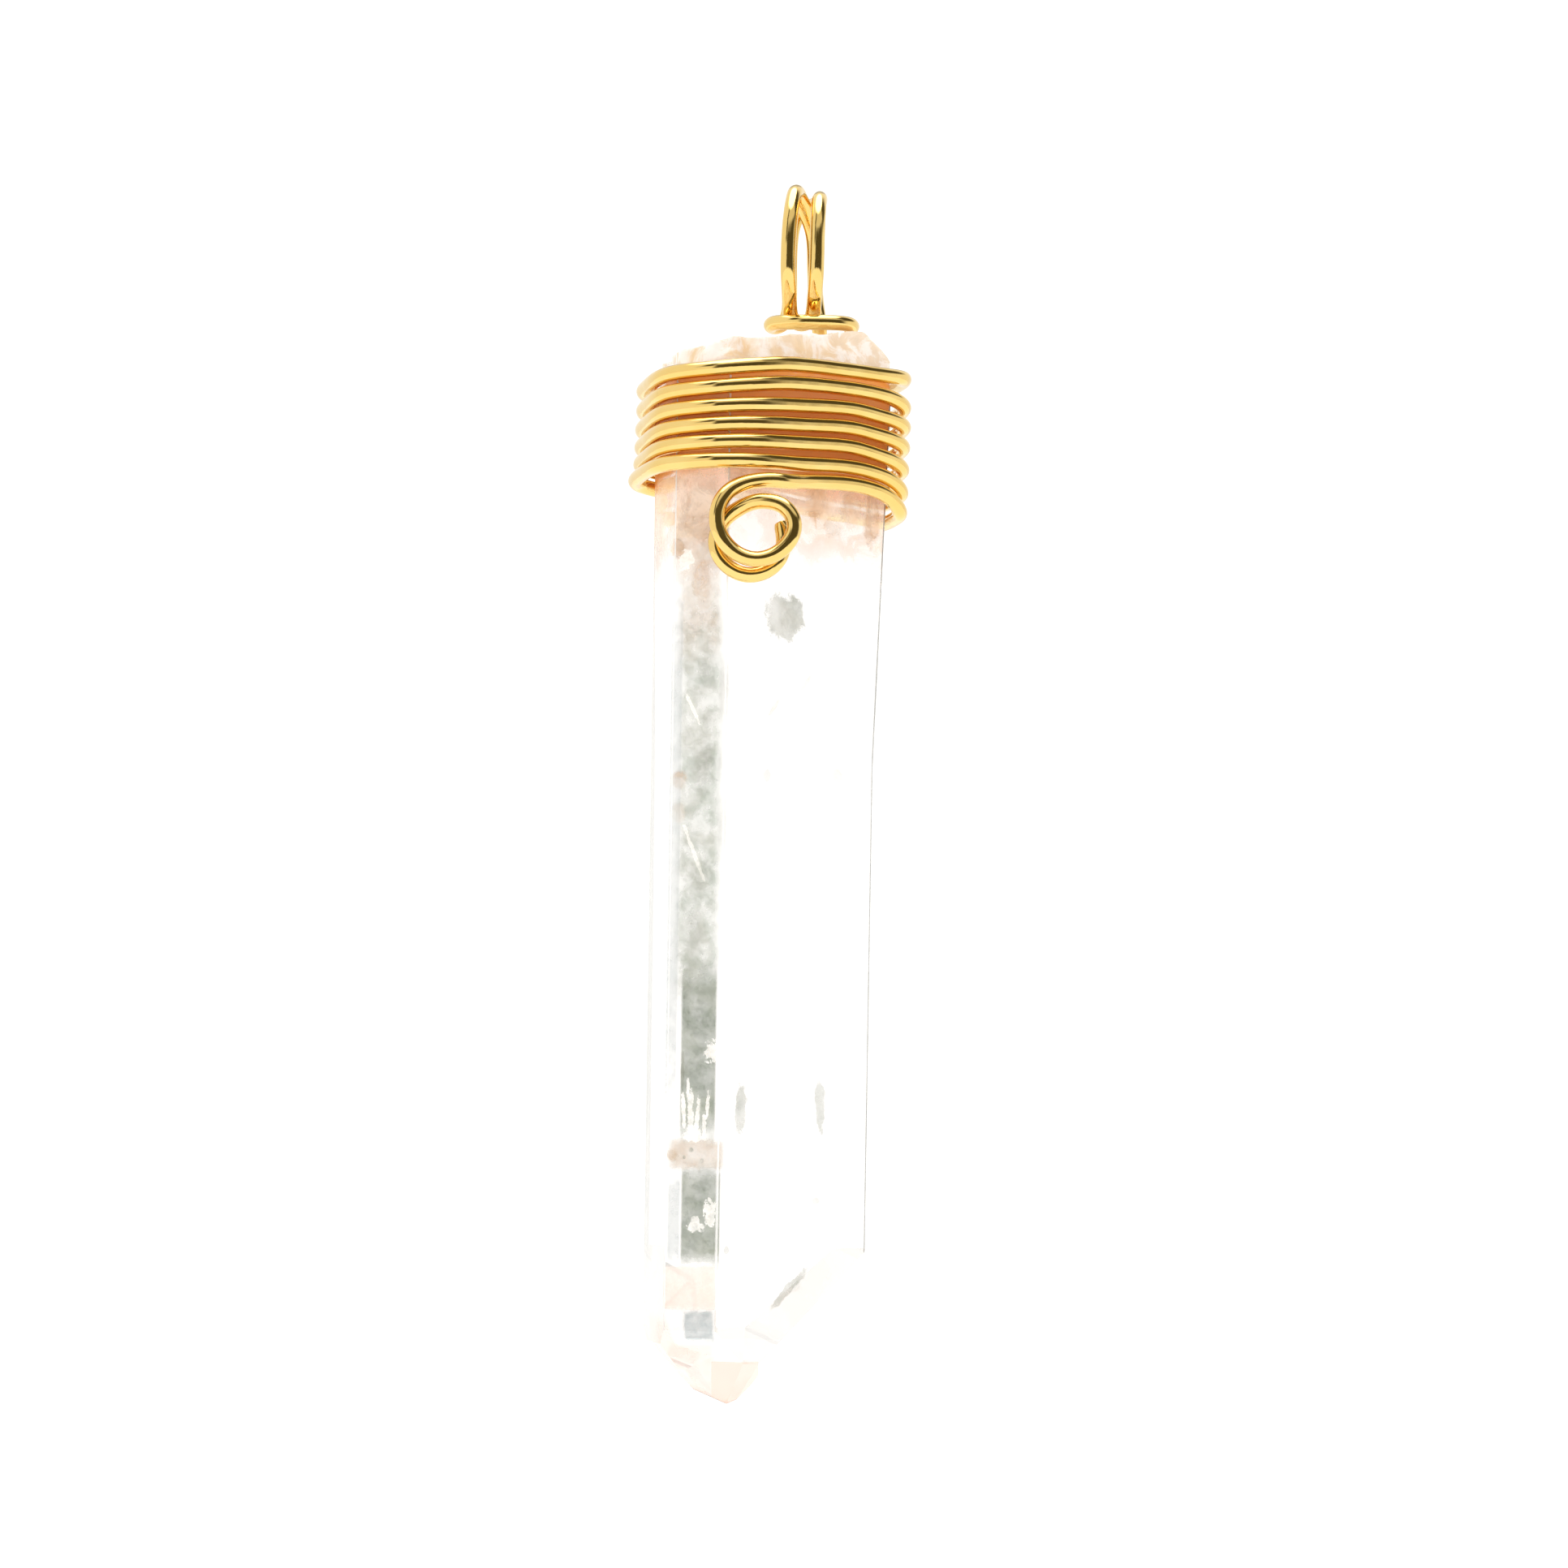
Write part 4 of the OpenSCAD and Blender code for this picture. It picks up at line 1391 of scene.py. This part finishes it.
@dataclass
class Studio:
    """Camera, pale floor and soft light all round."""

    camera_place: tuple = (-0.734, -199.08, -49.92)
    camera_aim: tuple = (-0.734, 0.0, -30.75)
    roll: float = 0.8
    focal_pixels: float = 4720.0
    picture_pixels: float = 1932.0
    sensor: float = 36.0
    floor_height: float = -82.0
    floor_reach: float = 420.0
    floor_sides: int = 64
    floor_rings: tuple = (0.02, 0.35, 0.7, 1.0)
    high_patch: tuple = ((-54.0, -42.0), (142.0, 118.0), (20.0, 30.0), (66.0, 57.0))
    gap_in_high: tuple = ((-34.0, -24.0), (84.0, 66.0))
    low_patch: tuple = ((-30.0, -22.0), (90.0, 66.0), (-10.0, -6.0), (42.0, 32.0))
    back_patch: tuple = ((24.0, 14.0), (22.0, 30.0), (52.0, 42.0))
    sky: tuple = (1.22, 1.20, 1.17)

    def camera(self) -> None:
        """Place the camera as in the photograph, turned by the roll."""
        place, aim = np.array(self.camera_place), np.array(self.camera_aim)
        forward = unit(aim - place)
        right = np.array([1.0, 0.0, 0.0])
        up = np.cross(right, forward)
        turn = math.radians(self.roll)
        cosine, sine = math.cos(turn), math.sin(turn)
        right, up = right * cosine + up * sine, up * cosine - right * sine
        lens = bpy.data.cameras.new("camera")
        lens.sensor_width = self.sensor
        lens.lens = self.focal_pixels / self.picture_pixels * self.sensor
        lens.clip_start, lens.clip_end = 0.01, 10.0
        made = bpy.data.objects.new("camera", lens)
        bpy.context.scene.collection.objects.link(made)
        spun = Matrix(np.column_stack([right, up, -forward]).tolist()).to_4x4()
        made.matrix_world = Matrix.Translation((place * MM).tolist()) @ spun
        bpy.context.scene.camera = made

    def floor(self) -> None:
        """Lay a round pale floor under the pendant."""
        shape = (len(self.floor_rings), self.floor_sides)
        share = np.linspace(0, 2 * np.pi, self.floor_sides + 1)[:-1]
        reach = np.array(self.floor_rings) * self.floor_reach
        grid = np.stack([reach[:, None] * np.cos(share), reach[:, None] * np.sin(share),
                         np.full(shape, self.floor_height)], -1)
        numbers = np.arange(shape[0] * shape[1]).reshape(shape)
        ahead = np.roll(numbers, -1, axis=1)
        quads = np.stack([numbers[:-1], numbers[1:], ahead[1:], ahead[:-1]], -1).reshape(-1, 4)
        made = put_mesh("pale_floor", grid.reshape(-1, 3), [*quads, numbers[0]])
        made.data.materials.append(PaleGround().material())

    def light(self) -> None:
        """Light from all round, bright overhead, with three patches that only metal mirrors dark.

        The sky's colour is a function of direction: elevation from the vertical share, azimuth from the
        level shares, each patch a product of one smooth step for each of its edges.
        """
        world = bpy.data.worlds.new("soft_studio")
        world.use_nodes = True
        graph = Graph(world.node_tree)
        way = graph.node("ShaderNodeTexCoord").outputs["Generated"]
        x, y, z = graph.parts(way)
        degrees = 180.0 / math.pi
        elevation = z.arcsine() * degrees
        azimuth = x.arctangent(-y) * degrees
        mottle = graph.noise(way, 9.0, 5.0, 0.65)
        side = azimuth + (mottle - 0.5) * 22.0
        rise = elevation + (mottle - 0.5) * 10.0
        behind = (azimuth.absolute() - 180.0).absolute()
        left, right, foot, top = self.high_patch
        high = side.step(*left) * side.step(*right) * rise.step(*foot) * rise.step(*top)
        left, right = self.gap_in_high
        high = high * (1.0 - side.step(*left) * side.step(*right) * 0.8)
        left, right, foot, top = self.low_patch
        low = side.step(*left) * side.step(*right) * rise.step(*foot) * rise.step(*top)
        width, foot, top = self.back_patch
        back = behind.step(*width) * rise.step(*foot) * rise.step(*top) * 0.5
        shade = high.larger(low).larger(back)
        above = elevation.step(57.0, 66.0)
        path = graph.node("ShaderNodeLightPath")
        mirrored = graph.value(path.outputs["Is Glossy Ray"])
        passed = graph.value(path.outputs["Is Transmission Ray"])
        off_metal = mirrored * (1.0 - passed)
        metal_side = graph.blend(shade, (1.03, 1.02, 0.99), (0.085, 0.075, 0.04))
        metal_side = graph.blend(above, metal_side, (4.2, 4.1, 3.9))
        clear_side = graph.blend(above, self.sky, (1.9, 1.88, 1.84))
        clear_side = graph.blend(elevation.step(-3.0, -9.0), clear_side, (1.21, 1.16, 1.12))
        colour = graph.blend(off_metal, clear_side, metal_side)
        glow = graph.node("ShaderNodeBackground", None, {"Color": colour, "Strength": 1.0})
        graph.node("ShaderNodeOutputWorld", None, {"Surface": glow.outputs[0]})
        bpy.context.scene.world = world

    def build(self) -> None:
        """Set up the whole studio."""
        self.camera()
        self.floor()
        self.light()
        settings = bpy.context.scene.view_settings
        settings.view_transform = "Standard"
        settings.look = "None"
        paths = bpy.context.scene.cycles
        paths.max_bounces = 40
        paths.glossy_bounces = 32
        paths.transmission_bounces = 32
        paths.transparent_max_bounces = 16


@dataclass
class Pendant:
    """The whole pendant."""

    stone: Stone = field(default_factory=Stone)
    wrap: Wrap = field(default_factory=Wrap)
    bail: Bail = field(default_factory=Bail)
    flaws_and_reflections: FlawsAndPaintedReflections = field(default_factory=FlawsAndPaintedReflections)

    def build(self) -> list[Any]:
        """Make and dress every piece.

        Returns:
            The pieces.
        """
        plate, cut = GoldPlate().material(), CutMetal().material()
        return [
            self.stone.build(ClearQuartz().material(), WornEdgeWithPaintedOutline().material()),
            self.wrap.build(plate, cut),
            self.bail.build(plate, cut),
            *self.flaws_and_reflections.build(),
        ]


def main() -> None:
    """Build the studio and the pendant."""
    logging.basicConfig(level=logging.INFO, format="%(message)s")
    Studio().build()
    for piece in Pendant().build():
        LOG.info("%s: %d faces", piece.name, len(piece.data.polygons))


if __name__ == "__main__":
    main()
